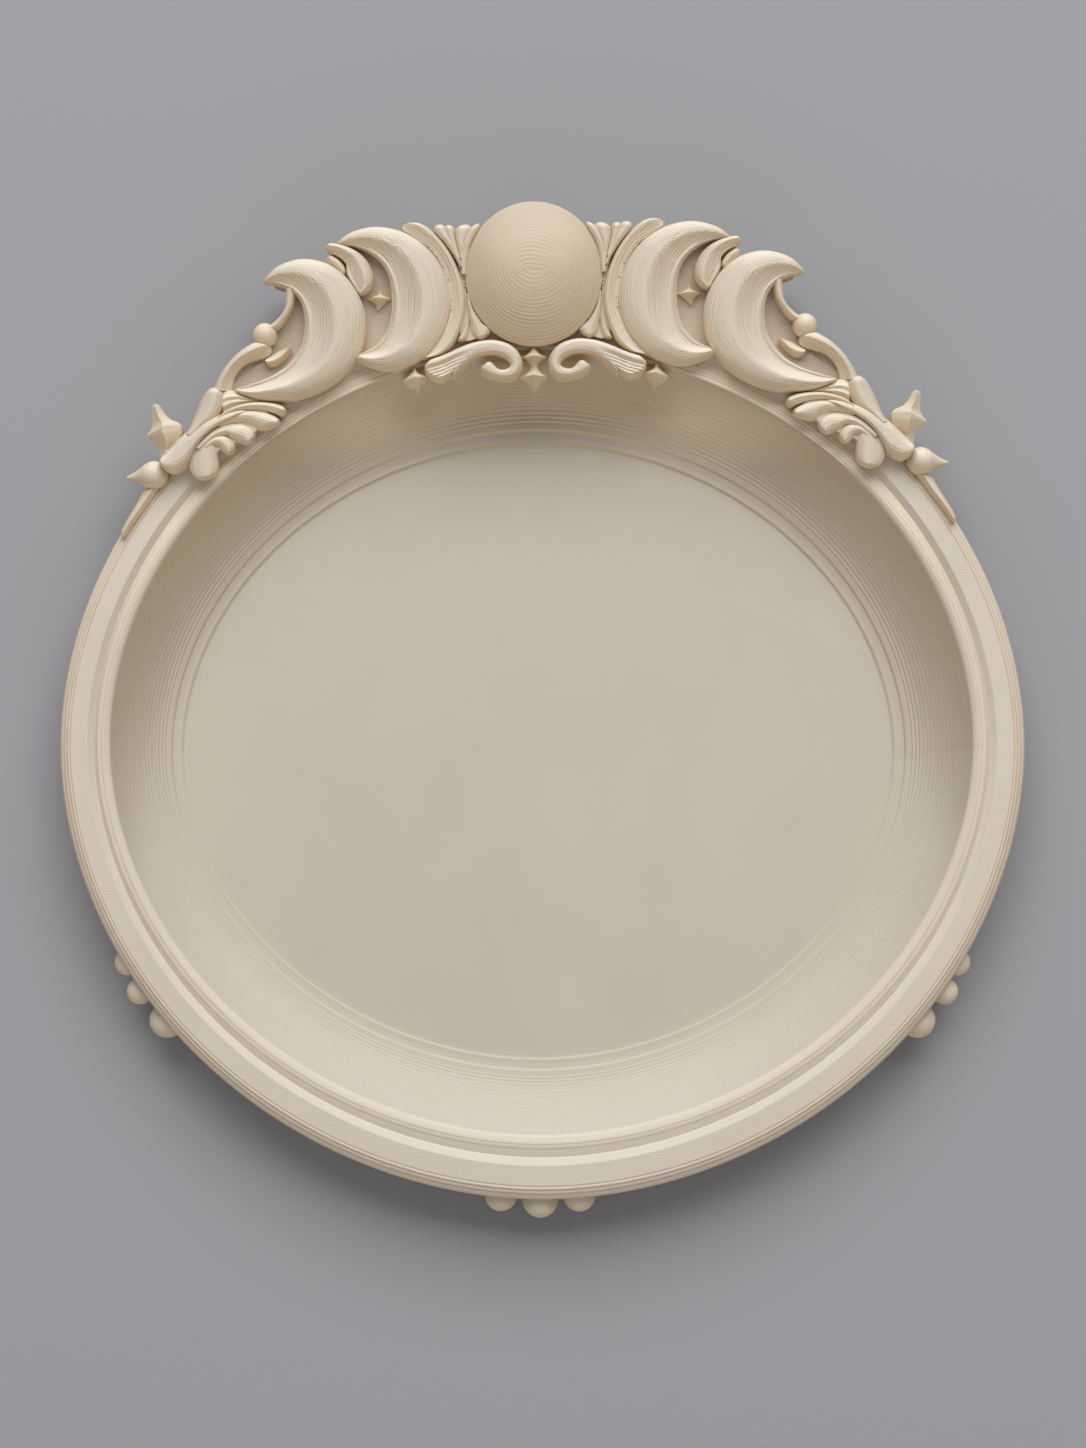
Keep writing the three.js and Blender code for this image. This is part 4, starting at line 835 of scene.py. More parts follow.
MOUTH_BEDS = (
    [[-39.5, 87.3], [-34, 88.8], [-29.8, 86.6], [-31.5, 82.6], [-38, 81.8]],
    [[-68, 74.5], [-60, 79.5], [-54, 84], [-50.5, 80], [-58, 73.5], [-65, 70.5]])

# Wall, place of the ridge and roundness of each acanthus leaf
ACANTHUS_CROWNS = (
    (3.0, 0.4, 1.5), (2.9, 0.45, 1.6), (3.0, 0.6, 1.6), (2.9, 0.5, 1.7), (2.7, 0.66, 2.0))

# Middle of the moon, half of the level line in it, how its printed rings are spread, how far
# they wander, their depth with its change, and the half axes of the crumbs' oval beside it
MOON_CENTRE = (0, 98.35)
MOON_LINE = 2.2
MOON_RINGS = (15.5, 3.0)
MOON_WANDER = (0.2, 0.12)
MOON_GROOVE = (0.04, 0.015)
MOON_CRUMBS = (14.3, 15.0)

# How far crumbs lie below and above their place, and the range of their size
CRUMB_SPREAD = (-0.2, 0.4)
CRUMB_SIZE = (0.12, 0.27)

# Middles of the knob on each scroll and of the ball on each upper stem
SCROLL_KNOB = (-9.7, 79.2)
STEM_BALL = (-56.5, 86.8)

# Backplate: its lap over the rim, the bevel's inset and height, and the rise of the mouths' beds
PLATE_LAP = 2.0
PLATE_BEVEL = (0.2, 0.25)
BED_RISE = 0.35

# Foot of a carving: under the plate's face, over the lip, and the insets between the two
FOOT_DEPTH = 0.6
LIP_GAP = 0.1
FOOT_CHANGE = (4.5, 10.5)
LEAST_RISE = 0.05

ROW_EASE = 0.09
LOWER_BEAD = 1.1
SIDES = (("left", 1), ("right", -1))


# Materials

# Direction of the key light on the crest's side that Shade is measured from, for the painted
# light and shade, and the span that it is divided by
KEY_LIGHT_SIDE = (0.0, 0.77, 0.64)
SHADE_SPAN = 1.6

# Painted light on the dish's far wall, in the crest's shadow, comes in over these metres along
# the tray and these shares of Shade
FAR_LIGHT_SPAN = (0.058, 0.068)
FAR_LIGHT_TILT = (0.28, 0.42)

# Painted highlight on the lip: its tones change over metres along the tray and end over insets
# and shares of Shade
LIP_LIGHT_CHANGE = (0.02, 0.055)
LIP_LIGHT_REACH = (11.85, 11.55)
LIP_LIGHT_TILT = (0.6, 0.36)

# Depth of the fine grit in metres, and what the clouds change brightness and roughness over
GRIT_DEPTH = 0.000006
CLOUDING = (0.975, 1.02)
ROUGHNESS = (0.53, 0.60)

# Finishes: a colour for each share of Shade, painted light and shade on the one ivory plastic,
# then depths and widths of the printed lines in metres. The layer share is that of the finish's
# layer depth.
RECIPES = {
    "Ivory dish": dict(
        tones={0: (0.545, 0.49, 0.42), 0.225: (0.545, 0.487, 0.407), 0.3: (0.475, 0.41, 0.322),
               0.4: (0.445, 0.376, 0.286), 0.5: (0.485, 0.40, 0.285), 0.66: (0.55, 0.43, 0.285),
               0.85: (0.56, 0.44, 0.29)},
        layer_share=0.15, road_depth=0.00003, road_width=0.00034, streak=0.00004,
        flat_depth=0.000006, thin_and_shade_tint=0.55, groove=0.03,
        lip_painted_light=((0.66, 0.583, 0.484), (0.77, 0.67, 0.535)), far_painted_light=(0.67, 0.535, 0.365)),
    "Ivory ball": dict(
        tones={0: (0.70, 0.61, 0.49), 0.225: (0.70, 0.61, 0.49), 0.5: (0.74, 0.62, 0.46),
               0.8: (0.80, 0.65, 0.46)},
        layer_share=0.3, road_depth=0.00001, streak=0),
    "Ivory rim": dict(
        tones={0: (0.68, 0.61, 0.52), 0.225: (0.645, 0.568, 0.472), 0.4: (0.58, 0.50, 0.40),
               0.6: (0.66, 0.55, 0.43), 0.8: (0.72, 0.60, 0.46)},
        layer_share=0.4, road_depth=0.000012, streak=0, flat_depth=0.00002, thin_and_shade_tint=0.75,
        groove=0.07),
    # The plate's tones are darker than the carving's: painted shade where it lies between them
    "Ivory plate": dict(
        tones={0: (0.49, 0.41, 0.32), 0.225: (0.485, 0.40, 0.312), 0.4: (0.52, 0.43, 0.325),
               0.6: (0.62, 0.49, 0.345), 0.8: (0.70, 0.54, 0.36)},
        layer_share=1, road_depth=0, flat_depth=0.00004, streak=0),
    "Ivory carving": dict(
        tones={0: (0.80, 0.72, 0.60), 0.12: (0.635, 0.555, 0.45), 0.3: (0.625, 0.53, 0.41),
               0.45: (0.72, 0.60, 0.445), 0.6: (0.79, 0.64, 0.46), 0.8: (0.88, 0.70, 0.48)},
        layer_share=0.5, road_depth=0.000055, streak=0.00016, groove=0.18),
    "Ivory bead": dict(
        tones={0: (0.74, 0.65, 0.53), 0.225: (0.65, 0.56, 0.44), 0.4: (0.67, 0.56, 0.42),
               0.6: (0.75, 0.605, 0.43), 0.8: (0.86, 0.68, 0.46)},
        layer_share=0.25, road_depth=0.000008, road_width=0.00082, streak=0.00003,
        groove=0.05),
    "Ivory dome": dict(
        tones={0: (0.58, 0.49, 0.38), 0.225: (0.548, 0.447, 0.328), 0.4: (0.595, 0.48, 0.347),
               0.6: (0.66, 0.51, 0.345), 0.8: (0.72, 0.545, 0.355)},
        layer_share=0.3, road_depth=0.00002, streak=0.00003),
}


def socket(group, name, side, default=None):
    """Adds one named number to a node group's inputs or outputs."""
    item = group.interface.new_socket(name=name, in_out=side, socket_type="NodeSocketFloat")
    if default is not None:
        item.default_value = default


def wire(tree, kind, inputs=(), **settings):
    """Adds a node, sets its settings and feeds its inputs, by index or name, from the pairs."""
    node = tree.nodes.new(kind)
    for key, value in settings.items():
        setattr(node, key, value)
    for key, value in dict(inputs).items():
        if hasattr(value, "is_output"):
            tree.links.new(value, node.inputs[key])
        else:
            node.inputs[key].default_value = value
    return node


def maths(tree, operation, *values):
    """A Math node's output."""
    return wire(tree, "ShaderNodeMath", enumerate(values), operation=operation).outputs[0]


def product(tree, total, *values):
    """The product of sockets and numbers, taken from left to right."""
    for value in values:
        total = maths(tree, 'MULTIPLY', total, value)
    return total


def line_gap(tree, value, period, sway):
    """1 in the line between two layers or roads, down to 0 halfway to the next."""
    moved = maths(tree, 'ADD', value, sway)
    phase = maths(tree, 'FRACT', maths(tree, 'DIVIDE', moved, period))
    edge = maths(tree, 'SUBTRACT', product(tree, phase, 2.0), 1.0)
    return maths(tree, 'POWER', maths(tree, 'ABSOLUTE', edge), 2.6)


def split(tree, vector):
    """The three numbers of a vector."""
    return wire(tree, "ShaderNodeSeparateXYZ", {0: vector}).outputs


def printed_layers_group():
    """Lines of printed layers on slopes and of printed roads on level faces.

    A layer's place is the fraction of height over layer height; its side bulges as a power curve.
    Roads keep an even distance across the piece, which the grain attribute gives, and a flat
    face takes straight roads along X. Streaks are noise drawn out along the piece. Shade is how
    far a face turns away from the key light on the crest's side of the sky; the materials paint
    light and shade by it.
    """
    group = bpy.data.node_groups.new("Printed layers", "ShaderNodeTree")
    for name, value in (("Layer Height", 0.00028), ("Layer Depth", 0.00007),
                        ("Road Width", 0.0006), ("Road Depth", 0.00002), ("Flat Width", 0.00042),
                        ("Flat Depth", 0.00001), ("Streak Depth", 0.00001), ("Wander", 0.00008)):
        socket(group, name, 'INPUT', value)
    for name in ("Height", "Groove", "Shade", "Thin And Shade", "Across"):
        socket(group, name, 'OUTPUT')
    given = wire(group, "NodeGroupInput").outputs
    place = wire(group, "ShaderNodeTexCoord").outputs["Object"]
    grain = wire(group, "ShaderNodeAttribute", attribute_name="grain").outputs["Vector"]
    across, _, thin = split(group, grain)
    normal = wire(group, "ShaderNodeNewGeometry").outputs["Normal"]
    upward = maths(group, 'ABSOLUTE', split(group, normal)["Z"])
    drift = wire(group, "ShaderNodeTexNoise", {"Vector": place, "Scale": 90.0, "Detail": 3.0})
    sway = product(group, maths(group, 'SUBTRACT', drift.outputs[0], 0.5), given["Wander"])
    slight = product(group, sway, 0.5)
    layer_gap = line_gap(group, split(group, place)["Z"], given["Layer Height"], slight)
    road_gap = line_gap(group, product(group, across, MM), given["Road Width"],
                        product(group, sway, 6.0))
    straight_gap = line_gap(group, split(group, place)["Y"], given["Flat Width"], slight)
    drawn = wire(group, "ShaderNodeVectorMath", {0: grain, 1: (1.8, 0.12, 0.0)},
                 operation='MULTIPLY')
    streak = wire(group, "ShaderNodeTexNoise", {"Vector": drawn.outputs[0], "Scale": 1.0,
                                                "Detail": 3.0, "Roughness": 0.6}).outputs[0]
    steep = maths(group, 'SUBTRACT', 1.0, maths(group, 'POWER', upward, 4.0))
    flat = maths(group, 'POWER', upward, 60.0)
    slope = maths(group, 'SUBTRACT', 1.0, flat)
    layer_line = product(group, layer_gap, steep)
    road_depth = product(group, maths(group, 'ADD', 0.35, product(group, streak, 1.3)),
                         given["Road Depth"])
    curved_cut = maths(group, 'ADD', product(group, layer_line, given["Layer Depth"]),
                       product(group, road_gap, slope, road_depth))
    level_cut = maths(group, 'ADD', product(group, straight_gap, flat, given["Flat Depth"]),
                      product(group, streak, slope, given["Streak Depth"]))
    height = product(group, maths(group, 'ADD', curved_cut, level_cut), -1.0)
    share = product(group, slope, upward,
                    maths(group, 'SUBTRACT', product(group, streak, 3.0), 0.7))
    # Groove marks the print lines' valleys, where the materials paint shade by darkening the colour
    groove = maths(group, 'MAXIMUM', layer_line, product(group, road_gap, share))
    # Shade: how far a face turns from the key light, for the painted light and shade
    toward = wire(group, "ShaderNodeVectorMath", {0: normal, 1: KEY_LIGHT_SIDE},
                  operation='DOT_PRODUCT').outputs["Value"]
    shade = maths(group, 'DIVIDE', maths(group, 'SUBTRACT', 1.0, toward), SHADE_SPAN)
    wire(group, "NodeGroupOutput", {"Height": height, "Groove": groove, "Shade": shade,
                                    "Thin And Shade": thin, "Across": across})
    return group


def ranged(tree, value, start, end):
    """A share that goes from 0 at the start value to 1 at the end value."""
    low, high = min(start, end), max(start, end)
    return wire(tree, "ShaderNodeMapRange", {
        "Value": value, "From Min": low, "From Max": high, "To Min": float(start > end),
        "To Max": float(start < end)}).outputs[0]


def blended(tree, share, first, second):
    """The first colour turned into the second by a share. Each is a tone or a socket."""
    mix = wire(tree, "ShaderNodeMix", data_type='RGBA')
    tree.links.new(share, mix.inputs["Factor"])
    for key, colour in (("A", first), ("B", second)):
        if isinstance(colour, tuple):
            mix.inputs[key].default_value = (*colour, 1)
        else:
            tree.links.new(colour, mix.inputs[key])
    return mix.outputs["Result"]


def clouded(tree, cloud, low, high):
    """A value from low to high that follows the middle of a noise."""
    return wire(tree, "ShaderNodeMapRange", {
        "Value": cloud, "From Min": 0.3, "From Max": 0.7, "To Min": low,
        "To Max": high}).outputs[0]


def painted_light_ramp(tree, shade, tones):
    """Painted light and shade: the colour of a ramp through the tones at a share of Shade."""
    ramp = wire(tree, "ShaderNodeValToRGB", {"Fac": shade})
    stops = ramp.color_ramp.elements
    for where in list(tones)[1:-1]:
        stops.new(where)
    for stop, (where, tone) in zip(stops, tones.items()):
        stop.position = where
        stop.color = (*tone, 1)
    return ramp.outputs["Color"]


def painted_light_colour(tree, lines, place, tones, lip_painted_light, far_painted_light):
    """Painted light and shade by Shade, with the far wall's painted light and the lip's painted
    highlight laid over.
    """
    shade = lines.outputs["Shade"]
    colour = painted_light_ramp(tree, shade, tones)
    length = split(tree, place)["Y"]
    # Painted light that lifts the far wall where the crest's shadow falls
    if far_painted_light is not None:
        far = product(tree, ranged(tree, length, *FAR_LIGHT_SPAN), ranged(tree, shade, *FAR_LIGHT_TILT))
        colour = blended(tree, far, colour, far_painted_light)
    # Painted highlight on the lip where it faces the light, paler towards the crest
    if lip_painted_light is not None:
        near = ranged(tree, lines.outputs["Across"], *LIP_LIGHT_REACH)
        lip = blended(tree, ranged(tree, length, *LIP_LIGHT_CHANGE), *lip_painted_light)
        share = product(tree, near, ranged(tree, shade, *LIP_LIGHT_TILT))
        colour = blended(tree, share, colour, lip)
    return colour


def ivory_material(name, tones, layer_share, road_depth, road_width=0.0006, flat_depth=0.00001,
                   streak=0.00002, thin_and_shade_tint=0.1, groove=0.1, lip_painted_light=None, far_painted_light=None):
    """Matte ivory plastic with print lines in its bump.

    The tones paint light and shade: a colour at each share by which a face turns away from the
    key light on the crest's side: level faces are at 0.225, sideways ones near 0.6 and faces to
    the front above it. The lip tones, a painted highlight of the front and of the crest's side,
    replace them on the lip of the dish where it tilts little. The far tone, painted light,
    replaces them on the part of its wall that lies under the crest, in the crest's shadow.
    """
    finish = bpy.context.scene.print_finish
    material = bpy.data.materials.new(name)
    material.use_nodes = True
    tree = material.node_tree
    tree.nodes.clear()
    lines = wire(tree, "ShaderNodeGroup")
    lines.node_tree = bpy.data.node_groups.get("Printed layers") or printed_layers_group()
    for key, value in (("Layer Height", finish.layer_height),
                       ("Layer Depth", finish.layer_depth * layer_share),
                       ("Road Width", road_width), ("Road Depth", road_depth),
                       ("Flat Width", finish.road_width), ("Flat Depth", flat_depth),
                       ("Streak Depth", streak)):
        lines.inputs[key].default_value = value
    place = wire(tree, "ShaderNodeTexCoord").outputs["Object"]
    cloud = wire(tree, "ShaderNodeTexNoise", {"Vector": place, "Scale": 35.0, "Detail": 4.0,
                                              "Roughness": 0.6}).outputs[0]
    grit = wire(tree, "ShaderNodeTexNoise", {"Vector": place, "Scale": 2600.0, "Detail": 3.0})
    # Painted light and shade, by how each face turns from the key light
    plain = painted_light_colour(tree, lines, place, tones, lip_painted_light, far_painted_light)
    # Warm tint where a carving is narrow, painted shade along the rim's and lip's lines, and the
    # dish's row tint
    thin = product(tree, lines.outputs["Thin And Shade"], thin_and_shade_tint)
    tinted = blended(tree, thin, plain, tuple(finish.warm)[:3])
    # Painted shade: the colour is darker along the grooves of the print lines
    level = maths(tree, 'SUBTRACT', 1.0, product(tree, lines.outputs["Groove"], groove))
    level = product(tree, level, clouded(tree, cloud, *CLOUDING))
    colour = wire(tree, "ShaderNodeVectorMath", {0: tinted, "Scale": level}, operation='SCALE')
    relief = maths(tree, 'ADD', lines.outputs["Height"],
                   product(tree, grit.outputs[0], GRIT_DEPTH))
    bump = wire(tree, "ShaderNodeBump", {"Height": relief, "Distance": 1.0, "Strength": 1.0})
    skin = wire(tree, "ShaderNodeBsdfPrincipled", {
        "Base Color": colour.outputs[0], "Roughness": clouded(tree, cloud, *ROUGHNESS),
        "Normal": bump.outputs[0], "IOR": 1.46})
    wire(tree, "ShaderNodeOutputMaterial", {"Surface": skin.outputs[0]})
    return material


def finish_named(name):
    """The material for one kind of surface, made the first time it is asked for."""
    return bpy.data.materials.get(name) or ivory_material(name, **RECIPES[name])


# Operators, one for each piece or group of like pieces

class TRAY_OT_basin(bpy.types.Operator):
    """Build the dish of the tray: floor, coved wall and lip."""
    bl_idname = "tray.basin"
    bl_label = "Basin"

    def execute(self, context):
        # Lines of painted shade on the lip's strip, at its step and in its notch
        shade_lines = [(GROOVE_INSET + past, width, strength) for past, width, strength in LIP_SHADE_LINES]
        profile, tint = basin_profile()
        add_piece("tray_basin", [oval_shell(profile, shade_lines, tint), lip_ridge()], "Ivory dish",
                  crease=40)
        return {'FINISHED'}


class TRAY_OT_rim(bpy.types.Operator):
    """Build the rim moulding with its reeds and sloping band."""
    bl_idname = "tray.rim"
    bl_label = "Rim moulding"

    def execute(self, context):
        # Lines of painted shade in the valleys between the reeds
        shade_lines = [(at, *REED_SHADE_LINE)
                 for at in (REED_BAND[0] / 3, REED_BAND[0] * 2 / 3, REED_BAND[0])]
        add_piece("rim_moulding", [oval_shell(rim_profile(), shade_lines, ring=True)], "Ivory rim",
                  crease=40)
        return {'FINISHED'}


def ball_shell(node):
    """A round bead where the CAD one sits: radius and centre come from its box.

    The lower beads are a little wider than that.
    """
    low, high = (np.array(corner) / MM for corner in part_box(node))
    radius = (high[2] - low[2]) / 2 * (LOWER_BEAD if "lower" in node else 1)
    centre = (low + high) / 2
    up, around = 28, 48
    polar = np.linspace(0, np.pi, up)[:, None]
    angle = turns(around)[None, :]
    vertices = triples(centre[0] + radius * np.sin(polar) * np.cos(angle),
                       centre[1] + radius * np.sin(polar) * np.sin(angle),
                       centre[2] + radius * np.cos(polar))
    return vertices, grid_faces(up, around), triples(radius * polar, 0 * angle, 0.0)


class TRAY_OT_beads(bpy.types.Operator):
    """Build the nine beads under the rim."""
    bl_idname = "tray.beads"
    bl_label = "Beads"

    def execute(self, context):
        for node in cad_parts:
            if node.startswith("bead_"):
                add_piece(node, [ball_shell(node)], "Ivory ball")
        return {'FINISHED'}


def plate_shell():
    """The backplate: the drawn outline, closed along an oval that laps over the rim.

    Its upper edge is bevelled: the last ring moves inwards, square to the outline.
    """
    top = bpy.context.scene.crest_sizes.plate_top / MM
    left = np.array(PLATE)
    right = left[:-1][::-1] * [-1, 1]
    outline = catmull_rom(np.vstack([left, right]), np.linspace(0, 1, 640))
    x, y = placed(outline[:, 0], outline[:, 1], 1)
    a, b, shift = oval_axes(np.array(PLATE_LAP))
    ends = np.arctan2((y[[0, -1]] - shift) / b, x[[0, -1]] / a)
    lap_x, lap_y = oval_points(PLATE_LAP, np.linspace(ends[1], ends[0], 240))
    x = np.concatenate([x, lap_x])
    y = np.concatenate([y, lap_y])
    inward = np.stack([np.roll(y, 1) - np.roll(y, -1), np.roll(x, -1) - np.roll(x, 1)], axis=-1)
    inward /= np.maximum(np.hypot(*inward.T), 1e-9)[:, None]
    area = np.sum(x * np.roll(y, -1) - np.roll(x, -1) * y)
    rows = [triples(x, y, z) for z in (plate_low[2] / MM, top - PLATE_BEVEL[1], top)]
    rows[-1][:, :2] += np.sign(area) * PLATE_BEVEL[0] * inward
    return np.concatenate(rows), grid_faces(3, len(x)), np.zeros((3 * len(x), 3))


class TRAY_OT_plate(bpy.types.Operator):
    """Build the crest's backplate."""
    bl_idname = "tray.plate"
    bl_label = "Backplate"

    def execute(self, context):
        beds = [slab(np.array(bed), BED_RISE, sign) for bed in MOUTH_BEDS for sign in (-1, 1)]
        add_piece("crest_backplate", [plate_shell(), *beds], "Ivory plate", crease=40)
        return {'FINISHED'}


def moon_shell():
    """The full moon: an upright edge and a dome with wandering printed rings.

    The dome falls from its middle as the radius to the power 2.2. The rings are narrow grooves
    that lie closer together towards the edge, round a short level line.
    """
    crest = bpy.context.scene.crest_sizes
    top = crest.plate_top / MM
    around, rows = 240, 260
    angle = turns(around)[None, :]
    reach = np.linspace(1, 0.003, rows)[:, None]
    count = MOON_RINGS[0] * reach + MOON_RINGS[1] * reach ** 2
    count = (count + MOON_WANDER[0] * np.sin(2 * angle + 0.7)
             + MOON_WANDER[1] * np.sin(5 * angle + 4 * reach))
    apart = np.abs(np.mod(count, 1) - 0.5)
    groove = np.exp(-((apart - 0.5) / 0.16) ** 2)
    depth = MOON_GROOVE[0] + MOON_GROOVE[1] * np.sin(3 * angle + 11 * reach)
    depth = depth * smooth_step(1 - reach, 0.0, 0.05)
    dome = np.maximum(1 - reach ** 2.2, 0) * crest.moon_crown / MM - depth * groove
    level = top + crest.moon_wall / MM + np.maximum(dome, 0)
    ones = np.ones((1, around))
    reach = np.vstack([0 * ones, ones, reach * ones])
    level = np.vstack([0 * ones, 0 * ones, level])
    across, along = crest_stretch()
    line = MOON_LINE * np.cos(angle) * (1 - reach) * (reach > 0)
    x = (0.5 * crest.moon_width / MM * np.cos(angle) * reach + line) / across
    y = MOON_CENTRE[1] + 0.5 * crest.moon_length / MM * np.sin(angle) * reach / along
    px, py = placed(x, y, 1)
    level[:2] = underside(px[:2], py[:2], top - FOOT_DEPTH)
    level[2:] = np.maximum(level[2:], level[1] + LEAST_RISE)
    grain = triples(reach * crest.moon_width / MM / 2, 0 * angle, 0.0)
    return triples(px, py, level), grid_faces(len(reach), around), grain


class TRAY_OT_full_moon(bpy.types.Operator):
    """Build the full moon."""
    bl_idname = "tray.full_moon"
    bl_label = "Full moon"

    def execute(self, context):
        add_piece("full_moon", [moon_shell()], "Ivory dome", crease=50)
        return {'FINISHED'}


class TRAY_OT_crescents(bpy.types.Operator):
    """Build the two pairs of crescents."""
    bl_idname = "tray.crescents"
    bl_label = "Crescents"

    def execute(self, context):
        crest = context.scene.crest_sizes
        wall, crown = crest.crescent_wall / MM, crest.crescent_crown / MM
        for side, sign in SIDES:
            for name, rails in (("inner", INNER_CRESCENT), ("outer", OUTER_CRESCENT)):
                add_strip(f"{name}_crescent_{side}", rails, crescent_crown, wall, crown,
                          closes=(0.05, 0.04), sign=sign, rows=320, across=56)
        return {'FINISHED'}


def crumbs(spots, rise, sign):
    """Small crumbs of plastic at spots of the drawing, each a double pyramid."""
    top = bpy.context.scene.crest_sizes.plate_top / MM
    draw = np.random.default_rng(11)
    x, y = placed(spots[:, 0], spots[:, 1], sign)
    z = top + rise + draw.uniform(*CRUMB_SPREAD, len(x))
    size = draw.uniform(*CRUMB_SIZE, len(x))
    arms = np.array([[1, 0, 0], [0, 1, 0], [-1, 0, 0], [0, -1, 0], [0, 0, 1], [0, 0, -1]])
    faces = [(0, 1, 4), (1, 2, 4), (2, 3, 4), (3, 0, 4), (1, 0, 5), (2, 1, 5), (3, 2, 5), (0, 3, 5)]
    return [(np.array([x[i], y[i], z[i]]) + arms * size[i], faces, np.zeros((6, 3)))
            for i in range(len(x))]


class TRAY_OT_halos(bpy.types.Operator):
    """Build the halo ridges that hug the inner crescents."""
    bl_idname = "tray.halos"
    bl_label = "Halo ridges"

    def execute(self, context):
        for side, sign in SIDES:
            shell = carved_strip(HALO, halo_crown, wall=2.2, crown=2.2, closes=(0.08, 0.06),
                                 sign=sign, rows=120)
            t = np.random.default_rng(4).uniform(0.24, 0.62, 34)
            crease = catmull_rom(np.array(INNER_CRESCENT)[:, :2], t)
            add_piece(f"halo_ridge_{side}", [shell, *crumbs(crease + [0.25, 0.1], 3.3, sign)])
        return {'FINISHED'}


class TRAY_OT_curls(bpy.types.Operator):
    """Build the wave curls between the crescents."""
    bl_idname = "tray.curls"
    bl_label = "Wave curls"

    def execute(self, context):
        for side, sign in SIDES:
            curl = carved_strip(WAVE_CURL, curl_crown, wall=1.6, crown=2.8, closes=(0.1, 0.05),
                                sign=sign, rows=120, across=40)
            lobe = carved_strip(CURL_LOBE, leaning(0.4, 1.7), wall=1.6, crown=1.7,
                                closes=(0.25, 0.2), sign=sign, rows=48)
            add_piece(f"wave_curl_{side}", [curl, lobe])
        return {'FINISHED'}


class TRAY_OT_palmettes(bpy.types.Operator):
    """Build the palmettes and the leaf drops beside the full moon."""
    bl_idname = "tray.palmettes"
    bl_label = "Palmettes"

    def execute(self, context):
        across, along = crest_stretch()
        for side, sign in SIDES:
            fan = [carved_strip(rails, rounded, wall=2.5, crown=1.7, closes=(0.2, 0), sign=sign,
                                rows=48) for rails in PALMETTE]
            add_piece(f"palmette_{side}", [*fan, slab(FAN_BED, 2.5, sign)])
            drop = [carved_strip(rails, rounded, wall=1.9, crown=1.8, closes=(0.04, 0.12),
                                 sign=sign, rows=48) for rails in LEAF_DROP]
            angle = np.random.default_rng(2).uniform(math.radians(155), math.radians(232), 26)
            foot = np.stack([MOON_CRUMBS[0] * np.cos(angle) / across,
                             MOON_CENTRE[1] + MOON_CRUMBS[1] * np.sin(angle) / along], axis=-1)
            add_piece(f"leaf_drop_{side}", [*drop, *crumbs(foot, 2.6, sign)])
        return {'FINISHED'}


class TRAY_OT_scrolls(bpy.types.Operator):
    """Build the C-scrolls below the full moon."""
    bl_idname = "tray.scrolls"
    bl_label = "Scrolls"

    def execute(self, context):
        for side, sign in SIDES:
            roll = carved_strip(SCROLL, scroll_crown, wall=2.6, crown=3.0, closes=(0.05, 0.04),
                                sign=sign, rows=320, across=64, hang=1.4)
            leaf = carved_strip(FAN_LEAF, leaning(0.4, 1.8), wall=2.8, crown=2.3,
                                closes=(0.3, 0.1), sign=sign, rows=60, hang=1.4)
            knob = half_ball(SCROLL_KNOB, (1.05, 0.95), wall=3.6, crown=1.5, sign=sign,
                             around=32, up=12)
            add_piece(f"c_scroll_{side}", [roll, leaf, knob])
        return {'FINISHED'}


class TRAY_OT_pendants(bpy.types.Operator):
    """Build the pendants over the dish and the small stars in the crescents' mouths."""
    bl_idname = "tray.pendants"
    bl_label = "Pendants and stars"

    def execute(self, context):
        cut = dict(finish="Ivory bead", crease=24, across=16)
        add_strip("centre_pendant", CENTRE_PENDANT, faceted(5.7), wall=1.6, crown=3.6, rows=240,
                  hang=1.5, **cut)
        for side, sign in SIDES:
            add_strip(f"side_pendant_{side}", SIDE_PENDANT, faceted(5.0), wall=1.6, crown=3.4,
                      sign=sign, rows=160, hang=1.5, **cut)
            add_strip(f"small_star_{side}", SMALL_STAR, faceted(4.8), wall=0.5, crown=2.6,
                      sign=sign, rows=160, **cut)
        return {'FINISHED'}


class TRAY_OT_stems(bpy.types.Operator):
    """Build the stems, balls, vine arms and leaf sprigs beside the outer crescents."""
    bl_idname = "tray.stems"
    bl_label = "Stems and vines"

    def execute(self, context):
        for side, sign in SIDES:
            add_strip(f"upper_stem_{side}", UPPER_STEM, rounded, wall=1.4, crown=2.0, sign=sign,
                      rows=60)
            ball = half_ball(STEM_BALL, (2.5, 2.5), wall=1.8, crown=2.5, sign=sign)
            add_piece(f"stem_ball_{side}", [ball], "Ivory bead")
            add_strip(f"vine_arm_{side}", VINE_ARM, vine_crown, wall=1.4, crown=2.4,
                      closes=(0.1, 0), sign=sign, rows=80)
            add_strip(f"leaf_sprig_{side}", LEAF_SPRIG, leaning(0.42, 1.4), wall=0.5, crown=2.2,
                      closes=(0.1, 0.08), sign=sign, rows=60)
        return {'FINISHED'}


